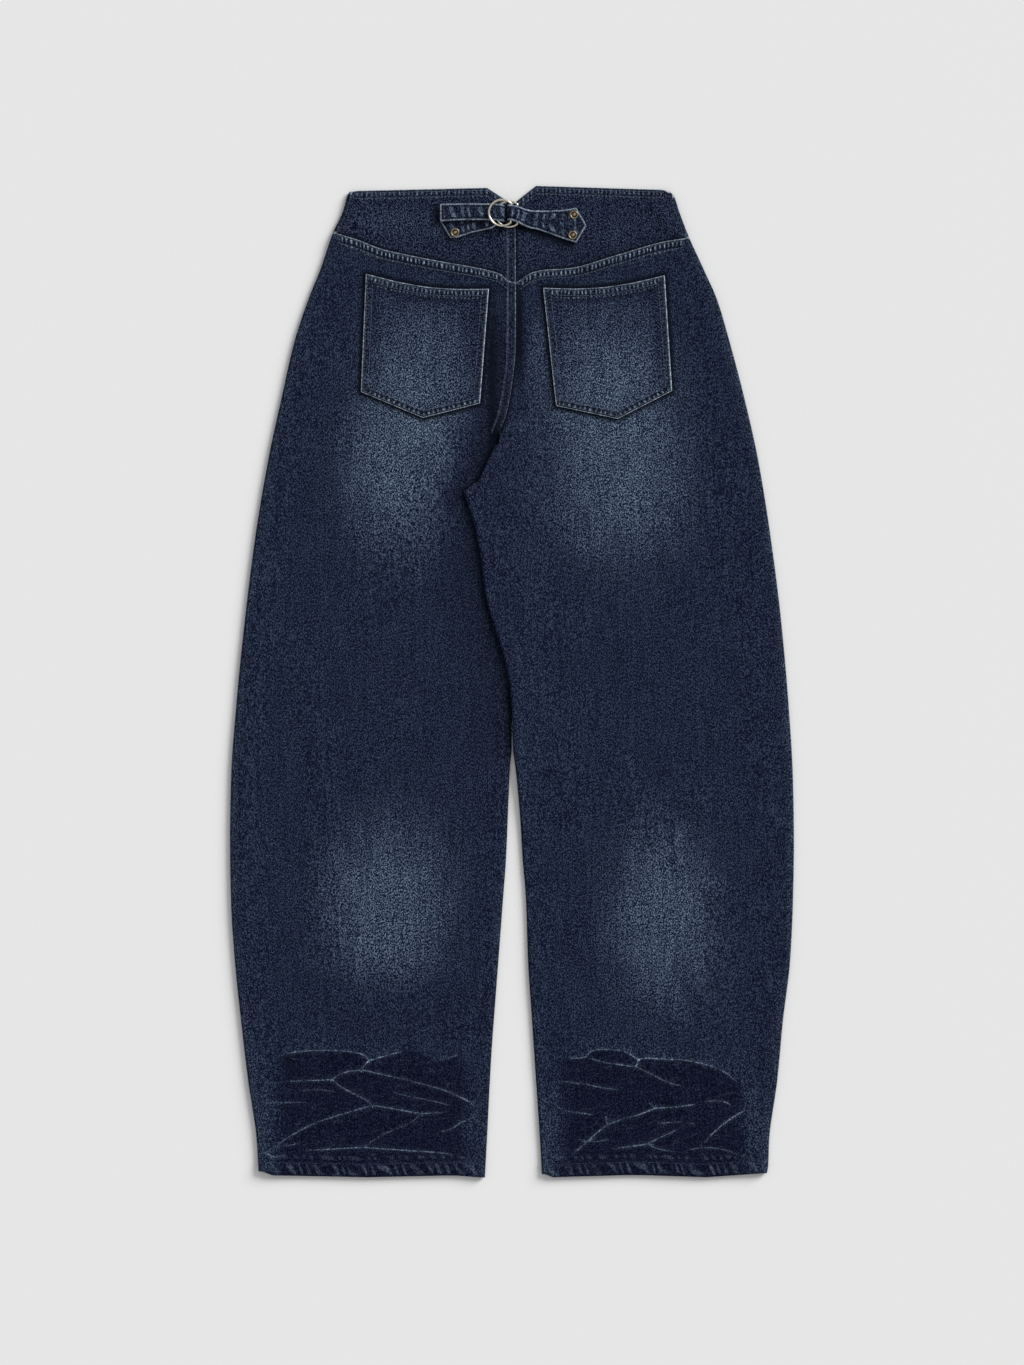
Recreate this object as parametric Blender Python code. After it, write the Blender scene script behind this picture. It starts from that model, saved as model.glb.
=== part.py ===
"""Barrel-leg jeans laid flat with the back upward, as the pieces that are cut and sewn.

Sizes are in millimetres until the meshes are made. Across is measured to the right of the
centre line, down is measured from the waist edge towards the hems, and height is above the
surface that the jeans lie on. Left and right are those of the picture of the back.
"""

import math
from collections import namedtuple

import bmesh
import bpy

# Driving sizes
LENGTH = 1041.0
WALL = 1.3
HEM_WALL = 1.8
HEM_DEPTH = 15.0
GAP = 0.3
REST_GAP = 0.42
FLAT_HEIGHT = 3.2
OUTER_EDGE_HEIGHT = 4.9
INNER_EDGE_HEIGHT = 4.0
NOSE_DEPTH = 3.4
INSEAM_TUCK = 7.0
CROTCH = 320.0
FORK_END = 590.0
LEVEL = 180.0
FRONT_WAIST_CENTRE = 41.0
FRONT_WAIST_SIDE = 7.5
WAISTBAND_CENTRE = 79.0
POCKET_WALL = 1.3
STRAP_WALL = 1.4
WIRE_RADIUS = 1.15
RIVET_RADIUS = 4.6
BUTTON_RADIUS = 8.5
BUTTON_HEIGHT = 1.3
BUTTON_DOWN = 61.0

# Relief of the upper cloth: heights of the raised places, and how far they spread
OUTER_EDGE_SPREAD = 24.0
INNER_EDGE_SPREAD = 16.0
HEM_LIFT = 1.0
YOKE_SEAM_LIFT = 0.6
YOKE_SEAM_MIDDLE = 5.0
CENTRE_SEAM_LIFT = 0.7
CENTRE_SEAM_MIDDLE = 4.0
SEAM_SPREAD = 6.0
CENTRE_SEAM_START = 48.0
FOLD_START = 240.0
FOLD_FULL = 260.0
BUTTON_LIFT = 1.75
BUTTON_LIFT_FULL = 11.0
BUTTON_LIFT_END = 25.0

# The right leg comes down from the left one over these places across and down
UPPER_SLOPE = (-3.0, 46.0)
UPPER_SLOPE_END = 690.0
LOWER_SLOPE = (0.5, 14.5)
LOWER_SLOPE_END = 650.0
CROTCH_RISE = 24.0

INDIGO = (0.012, 0.019, 0.038, 1.0)
INDIGO_WORN = (0.022, 0.033, 0.058, 1.0)
SILVER = (0.75, 0.72, 0.66, 1.0)
BRASS = (0.45, 0.33, 0.17, 1.0)

# The side edges of the garment: down, left, right
Edge = namedtuple("Edge", "down left right")
OUTER_EDGES = [
    Edge(5, -170, 165),
    Edge(11, -173, 170),
    Edge(27, -177.5, 175.5),
    Edge(52, -189, 185),
    Edge(86, -200.5, 200.5),
    Edge(120, -214, 215.5),
    Edge(162, -228, 228),
    Edge(225, -242.5, 244.5),
    Edge(288, -256, 258.5),
    Edge(372, -270, 272),
    Edge(456, -280.5, 282.5),
    Edge(540, -289, 290),
    Edge(624, -295, 295),
    Edge(687, -296, 296),
    Edge(750, -295, 295),
    Edge(813, -291, 292),
    Edge(876, -284.5, 284.5),
    Edge(939, -277, 278.5),
    Edge(1002, -268, 270),
    Edge(1028, -266.5, 269),
    Edge(1041, -265.5, 266.5),
]

# The centre seam, then the inner edge of the left leg, which lies under the right one
Point = namedtuple("Point", "down across")
LEFT_INNER = [
    Point(19, 0.8),
    Point(48, 3.8),
    Point(102, 4.2),
    Point(138, 4.2),
    Point(174, 3.8),
    Point(210, 0),
    Point(240, -5.8),
    Point(262, -12.8),
    Point(278, -3),
    Point(320, -0.5),
    Point(590, -0.5),
    Point(609, -2.1),
    Point(644, -3.6),
    Point(707, -6.3),
    Point(750, -9.5),
    Point(834, -15.8),
    Point(918, -22),
    Point(1002, -26.3),
    Point(1041, -28.4),
]

# The centre seam, then the fold over the left leg, the crotch and the right leg's inner edge
RIGHT_INNER = [
    Point(19, 0.8),
    Point(48, 3.8),
    Point(102, 4.2),
    Point(138, 4.2),
    Point(174, 3.8),
    Point(210, 0),
    Point(240, -5.8),
    Point(262, -12.8),
    Point(281, -22),
    Point(297, -29.5),
    Point(311, -37),
    Point(317, -46),
    Point(320, -50.5),
    Point(329, -48.3),
    Point(355, -40),
    Point(391, -33),
    Point(432, -27.3),
    Point(452, -22),
    Point(480, -13),
    Point(504, -6.3),
    Point(525, -2.6),
    Point(551, -0.5),
    Point(590, 1),
    Point(616, 4.2),
    Point(662, 8.4),
    Point(707, 11.2),
    Point(750, 14.7),
    Point(813, 16.8),
    Point(876, 21),
    Point(939, 25.2),
    Point(1002, 29.4),
    Point(1041, 31.5),
]

# How far the side seam lies in from the edge on the upper side
Tuck = namedtuple("Tuck", "down left right")
OUTSEAM_TUCK = [
    Tuck(5, 3.9, 3.9),
    Tuck(52, 4.0, 4.0),
    Tuck(200, 5.0, 6.0),
    Tuck(400, 5.5, 7.0),
    Tuck(1041, 5.5, 7.5),
]

# The yoke's upper edge with its notch, and its lower seam: across, down
Place = namedtuple("Place", "across down")
WAIST_EDGE = [
    Place(-173, 9.5),
    Place(-170, 6.3),
    Place(-160, 5.3),
    Place(-26.3, 2.1),
    Place(0.8, 19.4),
    Place(25.2, 0),
    Place(156.5, 4.2),
    Place(165, 6.0),
    Place(170, 10),
]
YOKE_SEAM_LEFT = [
    Place(-186, 49.4),
    Place(-161.7, 56.7),
    Place(-137.6, 66),
    Place(-114.5, 71.4),
    Place(-83, 77.7),
    Place(-26.3, 88.2),
    Place(-12.6, 92.4),
    Place(-3.2, 99.8),
    Place(4.2, 101.9),
]
YOKE_SEAM_RIGHT = [
    Place(4.2, 101.9),
    Place(10.5, 97.7),
    Place(20, 91.4),
    Place(33.6, 88.2),
    Place(58.8, 86.6),
    Place(110.3, 72.5),
    Place(160.7, 58.3),
    Place(186, 54.6),
]
HEM_EDGE = [
    Place(-266, 1033),
    Place(-251, 1038.5),
    Place(-151, 1040.5),
    Place(-61, 1038.5),
    Place(-28, 1041),
    Place(31.5, 1036),
    Place(43, 1040.5),
    Place(129, 1038),
    Place(204, 1040.5),
    Place(267, 1036),
]

# Soft folds of the upper cloth, ridges above zero and troughs below
Fold = namedtuple("Fold", "side across_from down_from across_to down_to width height")
FOLDS = [
    Fold("left", -15, 112, -13, 200, 5, -0.4),
    Fold("left", -22, 130, -19, 258, 8, 0.9),
    Fold("left", -226, 480, -204, 580, 13, 1.2),
    Fold("left", -204, 580, -199, 800, 13, 1.2),
    Fold("left", -60, 300, -130, 420, 24, 0.9),
    Fold("left", -150, 830, -60, 880, 18, 0.9),
    Fold("left", -230, 905, -80, 935, 14, 0.8),
    Fold("left", -215, 985, -110, 975, 12, 0.7),
    Fold("right", 10, 440, 60, 470, 18, 0.9),
    Fold("right", 30, 545, 66, 660, 16, 1.2),
    Fold("right", 108, 615, 160, 700, 18, 1.1),
    Fold("right", 213, 745, 216, 905, 14, 1.1),
    Fold("right", 205, 150, 238, 380, 16, 0.9),
    Fold("right", 250, 430, 268, 640, 14, 0.9),
    Fold("right", 60, 905, 210, 930, 14, 0.8),
    Fold("right", 80, 990, 190, 960, 12, 0.7),
    Fold("right", 152, 22, 172, 54, 7, 0.8),
]

# Rows of the grids. Below 2 they are shares of the way from the seam to the level row.
SEAM_ROWS = (0, 0.035, 0.09, 0.16, 0.32, 0.6, 1)
BODY_ROWS = (210, 240, 262, 272, 284, 297, 309, CROTCH - 0.2, CROTCH + 0.2, 329, 350, 380)
LEG_ROWS = (410, 440, 466, 486, 504, 540, 590, 620, 670, 720, 780, 840, 900, 950, 1000)
HEM_ROWS = (LENGTH - HEM_DEPTH - 2, LENGTH - HEM_DEPTH, LENGTH)
PANEL_ROWS = SEAM_ROWS + BODY_ROWS + LEG_ROWS + HEM_ROWS
YOKE_ROWS = (0, 0.12, 0.3, 0.42, 0.54, 0.68, 0.84, 1)
FIRST_TUBE_ROW = PANEL_ROWS.index(CROTCH + 0.2)
FIRST_FOLD_ROW = PANEL_ROWS.index(262) + 1

# Columns of the grids, as shares of the way from the side seam to the centre or inner edge
BACK_SHARES = (0, 0.05, 0.12, 0.2, 0.29, 0.38, 0.47, 0.56, 0.65, 0.75, 0.846, 0.9, 0.95, 0.975, 1)
FRONT_SHARES = (0, 0.2, 0.4, 0.6, 0.8, 1)
LEFT_STEPS = (26, 16, 8, 0)
RIGHT_STEPS = (34, 24, 16, 10.5, 6.5, 3.5, 0)
FORK_SHARES = (0.14, 0.5, 1)
NOSE_ANGLES = (60, 30, 0, -30, -60)

SIDES = {"left": 1, "right": -1}


def curve(rows, position, key=0, value=1):
    """Value at a position between the rows of a table, on a smooth curve that never overshoots."""
    if position <= rows[0][key]:
        return rows[0][value]
    if position >= rows[-1][key]:
        return rows[-1][value]
    index = 0
    while position > rows[index + 1][key]:
        index += 1

    def rise(number):
        first, second = rows[number], rows[number + 1]
        return (second[value] - first[value]) / (second[key] - first[key])

    def slope(number):
        if number == 0 or number == len(rows) - 1:
            return rise(min(number, len(rows) - 2))
        before, after = rise(number - 1), rise(number)
        if before * after <= 0:
            return 0.0
        return 2 * before * after / (before + after)

    width = rows[index + 1][key] - rows[index][key]
    share = (position - rows[index][key]) / width
    low, high = rows[index][value], rows[index + 1][value]
    swing = share * share * (3 - 2 * share)
    start = share * (1 - share) ** 2 * width * slope(index)
    end = share * share * (share - 1) * width * slope(index + 1)
    return low + (high - low) * swing + start + end


def straight(rows, position):
    """Value at a position between the rows of a table, on straight lines."""
    if position <= rows[0][0]:
        return rows[0][1]
    for first, second in zip(rows, rows[1:]):
        if position <= second[0]:
            share = (position - first[0]) / (second[0] - first[0])
            return first[1] + (second[1] - first[1]) * share
    return rows[-1][1]


def ease(position, start, end):
    """Smooth step from 0 at start to 1 at end."""
    share = min(1.0, max(0.0, (position - start) / (end - start)))
    return share * share * (3 - 2 * share)


def bump(distance, width):
    return math.exp(-((distance / width) ** 2))


def outer_edge(side, down):
    return curve(OUTER_EDGES, down, value=1 if side == "left" else 2)


def inner_edge(side, down):
    return curve(LEFT_INNER if side == "left" else RIGHT_INNER, down)


def tuck(side, down):
    return curve(OUTSEAM_TUCK, down, value=1 if side == "left" else 2)


def yoke_seam(side, across):
    return curve(YOKE_SEAM_LEFT if side == "left" else YOKE_SEAM_RIGHT, across)


def front_share(side, across):
    """1 at the centre front, 0 at the side seam."""
    reach = abs(outer_edge(side, FRONT_WAIST_SIDE))
    return max(0.0, 1 - (across / reach) ** 2)


def front_waist(side, across):
    return FRONT_WAIST_SIDE + (FRONT_WAIST_CENTRE - FRONT_WAIST_SIDE) * front_share(side, across)


def band_seam(side, across):
    """Lower edge of the front waistband, level with the yoke seam at the side."""
    start = YOKE_SEAM_LEFT[0].down if side == "left" else YOKE_SEAM_RIGHT[-1].down
    return start + (WAISTBAND_CENTRE - start) * front_share(side, across)


def in_hem(down):
    """0 above the hem's fold, 1 in the hem."""
    return ease(down, HEM_ROWS[0], HEM_ROWS[1])


def wall(down):
    return WALL + (HEM_WALL - WALL) * in_hem(down)


def fold_height(side, across, down):
    total = 0.0
    for fold in FOLDS:
        if fold.side != side:
            continue
        run = (fold.across_to - fold.across_from, fold.down_to - fold.down_from)
        start = (across - fold.across_from, down - fold.down_from)
        share = (start[0] * run[0] + start[1] * run[1]) / (run[0] ** 2 + run[1] ** 2)
        share = min(1.0, max(0.0, share))
        off = math.hypot(start[0] - run[0] * share, start[1] - run[1] * share)
        total += fold.height * bump(off, fold.width)
    return total


def button_lift(across, down):
    """The front waistband rises over the button, and the yoke with it."""
    off = math.hypot(across, down - BUTTON_DOWN)
    return BUTTON_LIFT * (1 - ease(off, BUTTON_LIFT_FULL, BUTTON_LIFT_END))


def seam_lift(side, across, down):
    """Extra height of the felled seams below the yoke and beside the centre line."""
    below = down - yoke_seam(side, across)
    total = YOKE_SEAM_LIFT * bump(below - YOKE_SEAM_MIDDLE, SEAM_SPREAD)
    if side == "left" and down < FOLD_FULL:
        beside = inner_edge(side, down) - across - CENTRE_SEAM_MIDDLE
        start = ease(down, CENTRE_SEAM_START, CENTRE_SEAM_START + 14)
        total += CENTRE_SEAM_LIFT * bump(beside, SEAM_SPREAD) * start
    return total


def own_height(side, across, down):
    """Height of the upper cloth of one side where nothing but its own lower cloth is under it."""
    outside = abs(across - outer_edge(side, down))
    height = FLAT_HEIGHT
    height += (OUTER_EDGE_HEIGHT - FLAT_HEIGHT) * bump(outside, OUTER_EDGE_SPREAD)
    inside = abs(across - inner_edge(side, down))
    rise = (INNER_EDGE_HEIGHT - FLAT_HEIGHT) * ease(down, CROTCH - CROTCH_RISE, CROTCH)
    height += rise * bump(inside, INNER_EDGE_SPREAD)
    height += HEM_LIFT * in_hem(down)
    return height + fold_height(side, across, down) + seam_lift(side, across, down)


def fork_share(down):
    """1 where the right leg lies on the left one, easing to 0 above and below."""
    return ease(down, FOLD_START, FOLD_FULL) * (1 - ease(down, FORK_END, UPPER_SLOPE_END))


def top_height(side, across, down):
    """Height of the outer surface of the upper cloth."""
    height = own_height(side, across, down) + button_lift(across, down)
    if side == "right":
        lift = left_height(across, down) + REST_GAP
        height += lift * (1 - ease(across, *UPPER_SLOPE)) * fork_share(down)
    return height


def left_height(across, down):
    """Height of the left side's upper cloth, kept level beyond its rounded inner edge."""
    reach = inner_edge("left", down) - NOSE_DEPTH
    return own_height("left", min(across, reach), down)


def bottom_height(side, across, down):
    """Height of the outer surface of the lower cloth, which rises over the other leg."""
    if side == "left":
        return button_lift(across, down)
    edge = inner_edge("left", max(down, CROTCH))
    over = 1 - ease(across - edge, *LOWER_SLOPE)
    ends = ease(down, CROTCH - CROTCH_RISE, CROTCH) * (1 - ease(down, FORK_END, LOWER_SLOPE_END))
    rest = INNER_EDGE_HEIGHT + REST_GAP
    if down >= CROTCH:
        rest = left_height(across, down) + REST_GAP
    return button_lift(across, down) + rest * over * ends


def left_bottom(across, down):
    return bottom_height("left", across, down)


def right_bottom(across, down):
    return bottom_height("right", across, down)


def fold_bottom(across, down):
    """Height of the underside of the right panel's fold, which lies on the left panel."""
    if down >= CROTCH:
        return right_bottom(across, down)
    return left_height(across, down) + REST_GAP


def upper_pair(side, across, down):
    """Outer and inner points of the upper cloth."""
    height = top_height(side, across, down)
    return (across, down, height), (across, down, height - wall(down))


def lower_pair(side, across, down):
    """Outer and inner points of the lower cloth."""
    height = bottom_height(side, across, down)
    return (across, down, height), (across, down, height + wall(down))


def nose_pair(side, edge, down, angle, low):
    """Outer and inner points of the cloth where it bends round an edge, at an angle above level."""
    inward = SIDES[side] if edge == "outer" else -SIDES[side]
    tip = outer_edge(side, down) if edge == "outer" else inner_edge(side, down)
    centre = tip + inward * NOSE_DEPTH
    top = top_height(side, centre, down)
    bottom = low(centre, down)
    middle = (top + bottom) / 2
    rise = (top - bottom) / 2
    thick = min(wall(down), rise - 0.15)
    cosine = math.cos(math.radians(angle))
    sine = math.sin(math.radians(angle))
    outer = (centre - inward * NOSE_DEPTH * cosine, down, middle + rise * sine)
    depth = NOSE_DEPTH - thick
    inner = (centre - inward * depth * cosine, down, middle + (rise - thick) * sine)
    return outer, inner


def row_down(row, across, seam):
    """Distance down of a grid row at a place across, between the seam and the hem."""
    if row < 2:
        start = seam(across)
        return start + (LEVEL - start) * row
    if row == LENGTH:
        return straight(HEM_EDGE, across)
    return row


def settle(place_across, row, seam):
    """A row's distance down and its place across, which depend on each other."""
    down = row_down(row, place_across(LEVEL), seam) if row < 2 else row
    for _ in range(4):
        down = row_down(row, place_across(down), seam)
    return place_across(down), down


def make_object(name, bm, colour, metallic=0.0, roughness=0.85, smooth=40):
    bmesh.ops.recalc_face_normals(bm, faces=bm.faces)
    mesh = bpy.data.meshes.new(name)
    bm.to_mesh(mesh)
    bm.free()
    material = bpy.data.materials.new(name)
    material.use_nodes = True
    shader = material.node_tree.nodes["Principled BSDF"]
    shader.inputs["Base Color"].default_value = colour
    shader.inputs["Metallic"].default_value = metallic
    shader.inputs["Roughness"].default_value = roughness
    mesh.materials.append(material)
    mesh.shade_smooth()
    mesh.set_sharp_from_angle(angle=math.radians(smooth))
    thing = bpy.data.objects.new(name, mesh)
    bpy.context.scene.collection.objects.link(thing)
    return thing


def metres(point):
    """A point across, down and up in millimetres as a place in metres, +Y towards the waist."""
    return point[0] * 0.001, (LENGTH / 2 - point[1]) * 0.001, point[2] * 0.001


def sheet(name, grid, kept, colour):
    """One closed wall from a grid of outer and inner points, without the cells that aren't kept."""
    bm = bmesh.new()
    made = {}

    def vertex(layer, row, column):
        key = (layer, row, column)
        if key not in made:
            made[key] = bm.verts.new(metres(grid[row][column][layer]))
        return made[key]

    def is_kept(row, column):
        inside = 0 <= row < len(grid) - 1 and 0 <= column < len(grid[0]) - 1
        return inside and kept(row, column)

    for row in range(len(grid) - 1):
        for column in range(len(grid[0]) - 1):
            if not is_kept(row, column):
                continue
            corners = [(row, column), (row + 1, column), (row + 1, column + 1), (row, column + 1)]
            bm.faces.new([vertex(0, *corner) for corner in corners])
            bm.faces.new([vertex(1, *corner) for corner in reversed(corners)])
            beside = [(row, column - 1), (row + 1, column), (row, column + 1), (row - 1, column)]
            for number, neighbour in enumerate(beside):
                if is_kept(*neighbour):
                    continue
                first, second = corners[number], corners[(number + 1) % 4]
                edge = [vertex(0, *second), vertex(0, *first)]
                bm.faces.new(edge + [vertex(1, *first), vertex(1, *second)])
    return make_object(name, bm, colour)


def back_panel(side):
    """Back of one leg: upper cloth, then round the inner edge and a little way under."""
    inward = SIDES[side]
    first_round = FIRST_TUBE_ROW if side == "left" else FIRST_FOLD_ROW
    low = fold_bottom if side == "right" else left_bottom

    def seam(across):
        return yoke_seam(side, across) + GAP / 2

    grid = []
    for number, row in enumerate(PANEL_ROWS):
        end = NOSE_DEPTH if number >= first_round else GAP / 2
        line = []
        for share in BACK_SHARES:

            def place(down, share=share, end=end):
                first = outer_edge(side, down) + inward * (tuck(side, down) + GAP / 2)
                last = inner_edge(side, down) - inward * end
                return first + (last - first) * share

            line.append(upper_pair(side, *settle(place, row, seam)))
        down = line[-1][0][1]
        for angle in NOSE_ANGLES:
            line.append(nose_pair(side, "inner", down, angle, low))
        for reach in (NOSE_DEPTH, INSEAM_TUCK - GAP / 2):
            across = inner_edge(side, down) - inward * reach
            height = low(across, down)
            line.append(((across, down, height), (across, down, height + wall(down))))
        grid.append(line)
    upper_cells = len(BACK_SHARES) - 1

    def kept(row, column):
        return column < upper_cells or row >= first_round

    return sheet("back_leg_" + side, grid, kept, INDIGO)


def front_panel(side):
    """Front of one leg: from the side seam round the outer edge and under to the inseam."""
    inward = SIDES[side]
    low = right_bottom if side == "right" else left_bottom

    def seam(across):
        return band_seam(side, across) + GAP / 2

    def at_side_seam(down):
        return outer_edge(side, down) + inward * (tuck(side, down) - GAP / 2)

    def at_nose(down):
        return outer_edge(side, down) + inward * NOSE_DEPTH

    grid = []
    for row in PANEL_ROWS:
        line = []
        for place in (at_side_seam, at_nose):
            line.append(upper_pair(side, *settle(place, row, seam)))
        down = line[-1][0][1]
        for angle in NOSE_ANGLES:
            line.append(nose_pair(side, "outer", down, angle, low))
        for place in front_places(side):
            line.append(lower_pair(side, *settle(place, row, seam)))
        grid.append(line)
    always = len(grid[0]) - (2 if side == "left" else 1 + len(FORK_SHARES))

    def kept(row, column):
        if side == "left":
            return column < always or row < FIRST_TUBE_ROW - 1
        return column < always or row >= FIRST_TUBE_ROW

    return sheet("front_leg_" + side, grid, kept, INDIGO)


def front_places(side):
    """Functions that give each column of the front's lower cloth its place across."""
    inward = SIDES[side]
    steps = LEFT_STEPS if side == "left" else RIGHT_STEPS
    places = []

    def centre(down):
        edge = inner_edge(side, max(down, CROTCH))
        if side == "left":
            return edge - INSEAM_TUCK - GAP / 2
        return max(GAP / 2, edge + INSEAM_TUCK + 3)

    for share in FRONT_SHARES:

        def place(down, share=share):
            first = outer_edge(side, down) + inward * NOSE_DEPTH
            return first + (centre(down) - inward * steps[0] - first) * share

        places.append(place)
    for step in steps[1:]:
        places.append(lambda down, step=step: centre(down) - inward * step)
    if side == "left":
        places.append(lambda down: -GAP / 2)
        return places
    for share in FORK_SHARES:

        def place(down, share=share):
            last = inner_edge(side, max(down, CROTCH)) + INSEAM_TUCK + GAP / 2
            return centre(down) + (last - centre(down)) * share

        places.append(place)
    return places


def yoke(side):
    """Half of the shaped yoke, from the waist edge with its notch down to the yoke seam."""
    inward = SIDES[side]
    grid = []
    for row in YOKE_ROWS:
        line = []
        for share in BACK_SHARES:

            def place(down, share=share):
                first = outer_edge(side, down) + inward * (tuck(side, down) + GAP / 2)
                last = inner_edge(side, down) - inward * GAP / 2
                return first + (last - first) * share

            down = 40.0
            for _ in range(5):
                across = place(down)
                start = straight(WAIST_EDGE, across)
                end = yoke_seam(side, across) - GAP / 2
                down = start + (end - start) * row
            line.append(upper_pair(side, place(down), down))
        grid.append(line)
    return sheet("yoke_" + side, grid, lambda row, column: True, INDIGO)


def waistband(side):
    """Front waistband: from the side seam round the edge and under to the centre front."""
    inward = SIDES[side]
    low = right_bottom if side == "right" else left_bottom

    def down_at(across, row):
        start = front_waist(side, across)
        end = band_seam(side, across) - GAP / 2
        return start + (end - start) * row

    grid = []
    for row in YOKE_ROWS:
        line = []
        for reach in (tuck(side, FRONT_WAIST_SIDE) - GAP / 2, NOSE_DEPTH):
            down = 30.0
            for _ in range(5):
                across = outer_edge(side, down) + inward * reach
                down = down_at(across, row)
            line.append(upper_pair(side, across, down))
        for angle in NOSE_ANGLES:
            line.append(nose_pair(side, "outer", down, angle, low))
        places = front_places(side)
        if side == "right":
            places = places[: -len(FORK_SHARES)]
        for across_at in places:
            for _ in range(5):
                across = across_at(down)
                down = down_at(across, row)
            line.append(lower_pair(side, across, down))
        grid.append(line)
    return sheet("waistband_" + side, grid, lambda row, column: True, INDIGO)


# Back pockets: the corners of each patch, and the point of its lower edge
Pocket = namedtuple("Pocket", "side top_outer top_inner low_outer low_inner point dip")
POCKETS = [
    Pocket("left", (-153.3, 92.4), (-24.2, 108.2), (-158.6, 216.3), (-33.6, 228.4), (-93.5, 243.6), 6),
    Pocket("right", (160.2, 94), (32.6, 107.1), (168, 215.3), (46.2, 231), (110.9, 244.7), 6),
]
POCKET_STEPS = (0, 0.12, 0.26, 0.4, 0.52, 0.64, 0.77, 0.89, 1)


def between(first, second, share):
    return tuple(a + (b - a) * share for a, b in zip(first, second))


def pocket(spec):
    """A patch on the back panel, made from the panel's own surface moved out."""
    middle = POCKET_STEPS[4]
    grid = []
    for fall in POCKET_STEPS:
        line = []
        for share in POCKET_STEPS:
            top = between(spec.top_outer, spec.top_inner, share)
            top = (top[0], top[1] + spec.dip * math.sin(math.pi * share))
            if share <= middle:
                low = between(spec.low_outer, spec.point, share / middle)
            else:
                low = between(spec.point, spec.low_inner, (share - middle) / (1 - middle))
            across, down = between(top, low, fall)
            height = top_height(spec.side, across, down) + REST_GAP
            line.append(((across, down, height + POCKET_WALL), (across, down, height)))
        grid.append(line)
    return sheet("pocket_" + spec.side, grid, lambda row, column: True, INDIGO_WORN)


# Cinch straps: each station's place across, its upper and lower edge, and its middle height
Station = namedtuple("Station", "across upper lower height")
STRAP_LEFT = [
    Station(-75, 36.3, 38.3, 4.4),
    Station(-64.6, 18.8, 55, 4.4),
    Station(-57.8, 19.4, 54.6, 4.4),
    Station(-48.3, 21, 51.5, 4.4),
    Station(-42, 22.6, 49.4, 4.4),
    Station(-32.6, 24.2, 47.3, 4.4),
    Station(-22, 24.7, 45.2, 4.4),
    Station(-14.7, 23.6, 41, 4.6),
    Station(-10.5, 22, 38.6, 4.7),
]
STRAP_LEFT_BACK = [
    Station(-10.5, 20, 37.3, 8.9),
    Station(-16.8, 19.4, 36.8, 8.95),
    Station(-20.5, 19.2, 36.6, 8.35),
    Station(-24.2, 19.1, 36.5, 8.2),
    Station(-35, 19, 36.3, 7.0),
    Station(-47, 18.9, 36.3, 7.1),
    Station(-62, 19.1, 36.8, 7.6),
    Station(-75.3, 19.3, 37.8, 7.2),
]
STRAP_RIGHT_UNDER = [
    Station(11.5, 25, 42.5, 5.2),
    Station(5.6, 21.8, 38.6, 5.2),
    Station(-1.2, 20.6, 37, 5.2),
]
STRAP_RIGHT = [
    Station(-1.2, 20.4, 36.4, 11.5),
    Station(5.6, 21.6, 38.6, 10.3),
    Station(14.2, 24.8, 43, 8.0),
    Station(20, 25.9, 44.9, 6.0),
    Station(27.3, 26.2, 46.2, 4.9),
    Station(41, 26.2, 51, 4.5),
    Station(56.7, 25.2, 56.7, 4.6),
    Station(67.5, 23, 59.8, 4.8),
    Station(77.7, 41, 42.5, 4.8),
]


def turn(start, end, bulge, steps=5):
    """Stations half way round a turn of the strap, bulging to one side between two stations."""
    middle = (start.height + end.height) / 2
    radius = (end.height - start.height) / 2
    stations = []
    for step in range(1, steps):
        angle = -math.pi / 2 + math.pi * step / steps
        share = step / steps
        stations.append(
            Station(
                start.across + (end.across - start.across) * share + bulge * radius * math.cos(angle),
                start.upper + (end.upper - start.upper) * share,
                start.lower + (end.lower - start.lower) * share,
                middle + radius * math.sin(angle),
            )
        )
    return stations


def strap(name, stations):
    """A band of cloth along its stations, as thick as the strap at right angles to its run."""
    grid = []
    for number, station in enumerate(stations):
        before = stations[max(0, number - 1)]
        after = stations[min(len(stations) - 1, number + 1)]
        run = (after.across - before.across, after.height - before.height)
        size = math.hypot(*run)
        off = (-run[1] / size * STRAP_WALL / 2, run[0] / size * STRAP_WALL / 2)
        line = []
        for share in (0, 0.5, 1):
            down = station.upper + (station.lower - station.upper) * share
            outer = (station.across + off[0], down, station.height + off[1])
            inner = (station.across - off[0], down, station.height - off[1])
            line.append((outer, inner))
        grid.append(line)
    return sheet(name, grid, lambda row, column: True, INDIGO_WORN)


# D-rings: middle of the round, its radius, the bar's place across, and the heights of the
# round's far side and of the bar
Ring = namedtuple("Ring", "name across down radius bar far_height bar_height")
RINGS = [
    Ring("d_ring_upper", -10.5, 28.9, 13.6, -1.2, 11.05, 9.2),
    Ring("d_ring_lower", -3.0, 30.1, 13.4, 5.6, 6.8, 7.4),
]
RING_CORNER = 1.5
RING_SIDES = 8
RING_STEPS = 22


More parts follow.
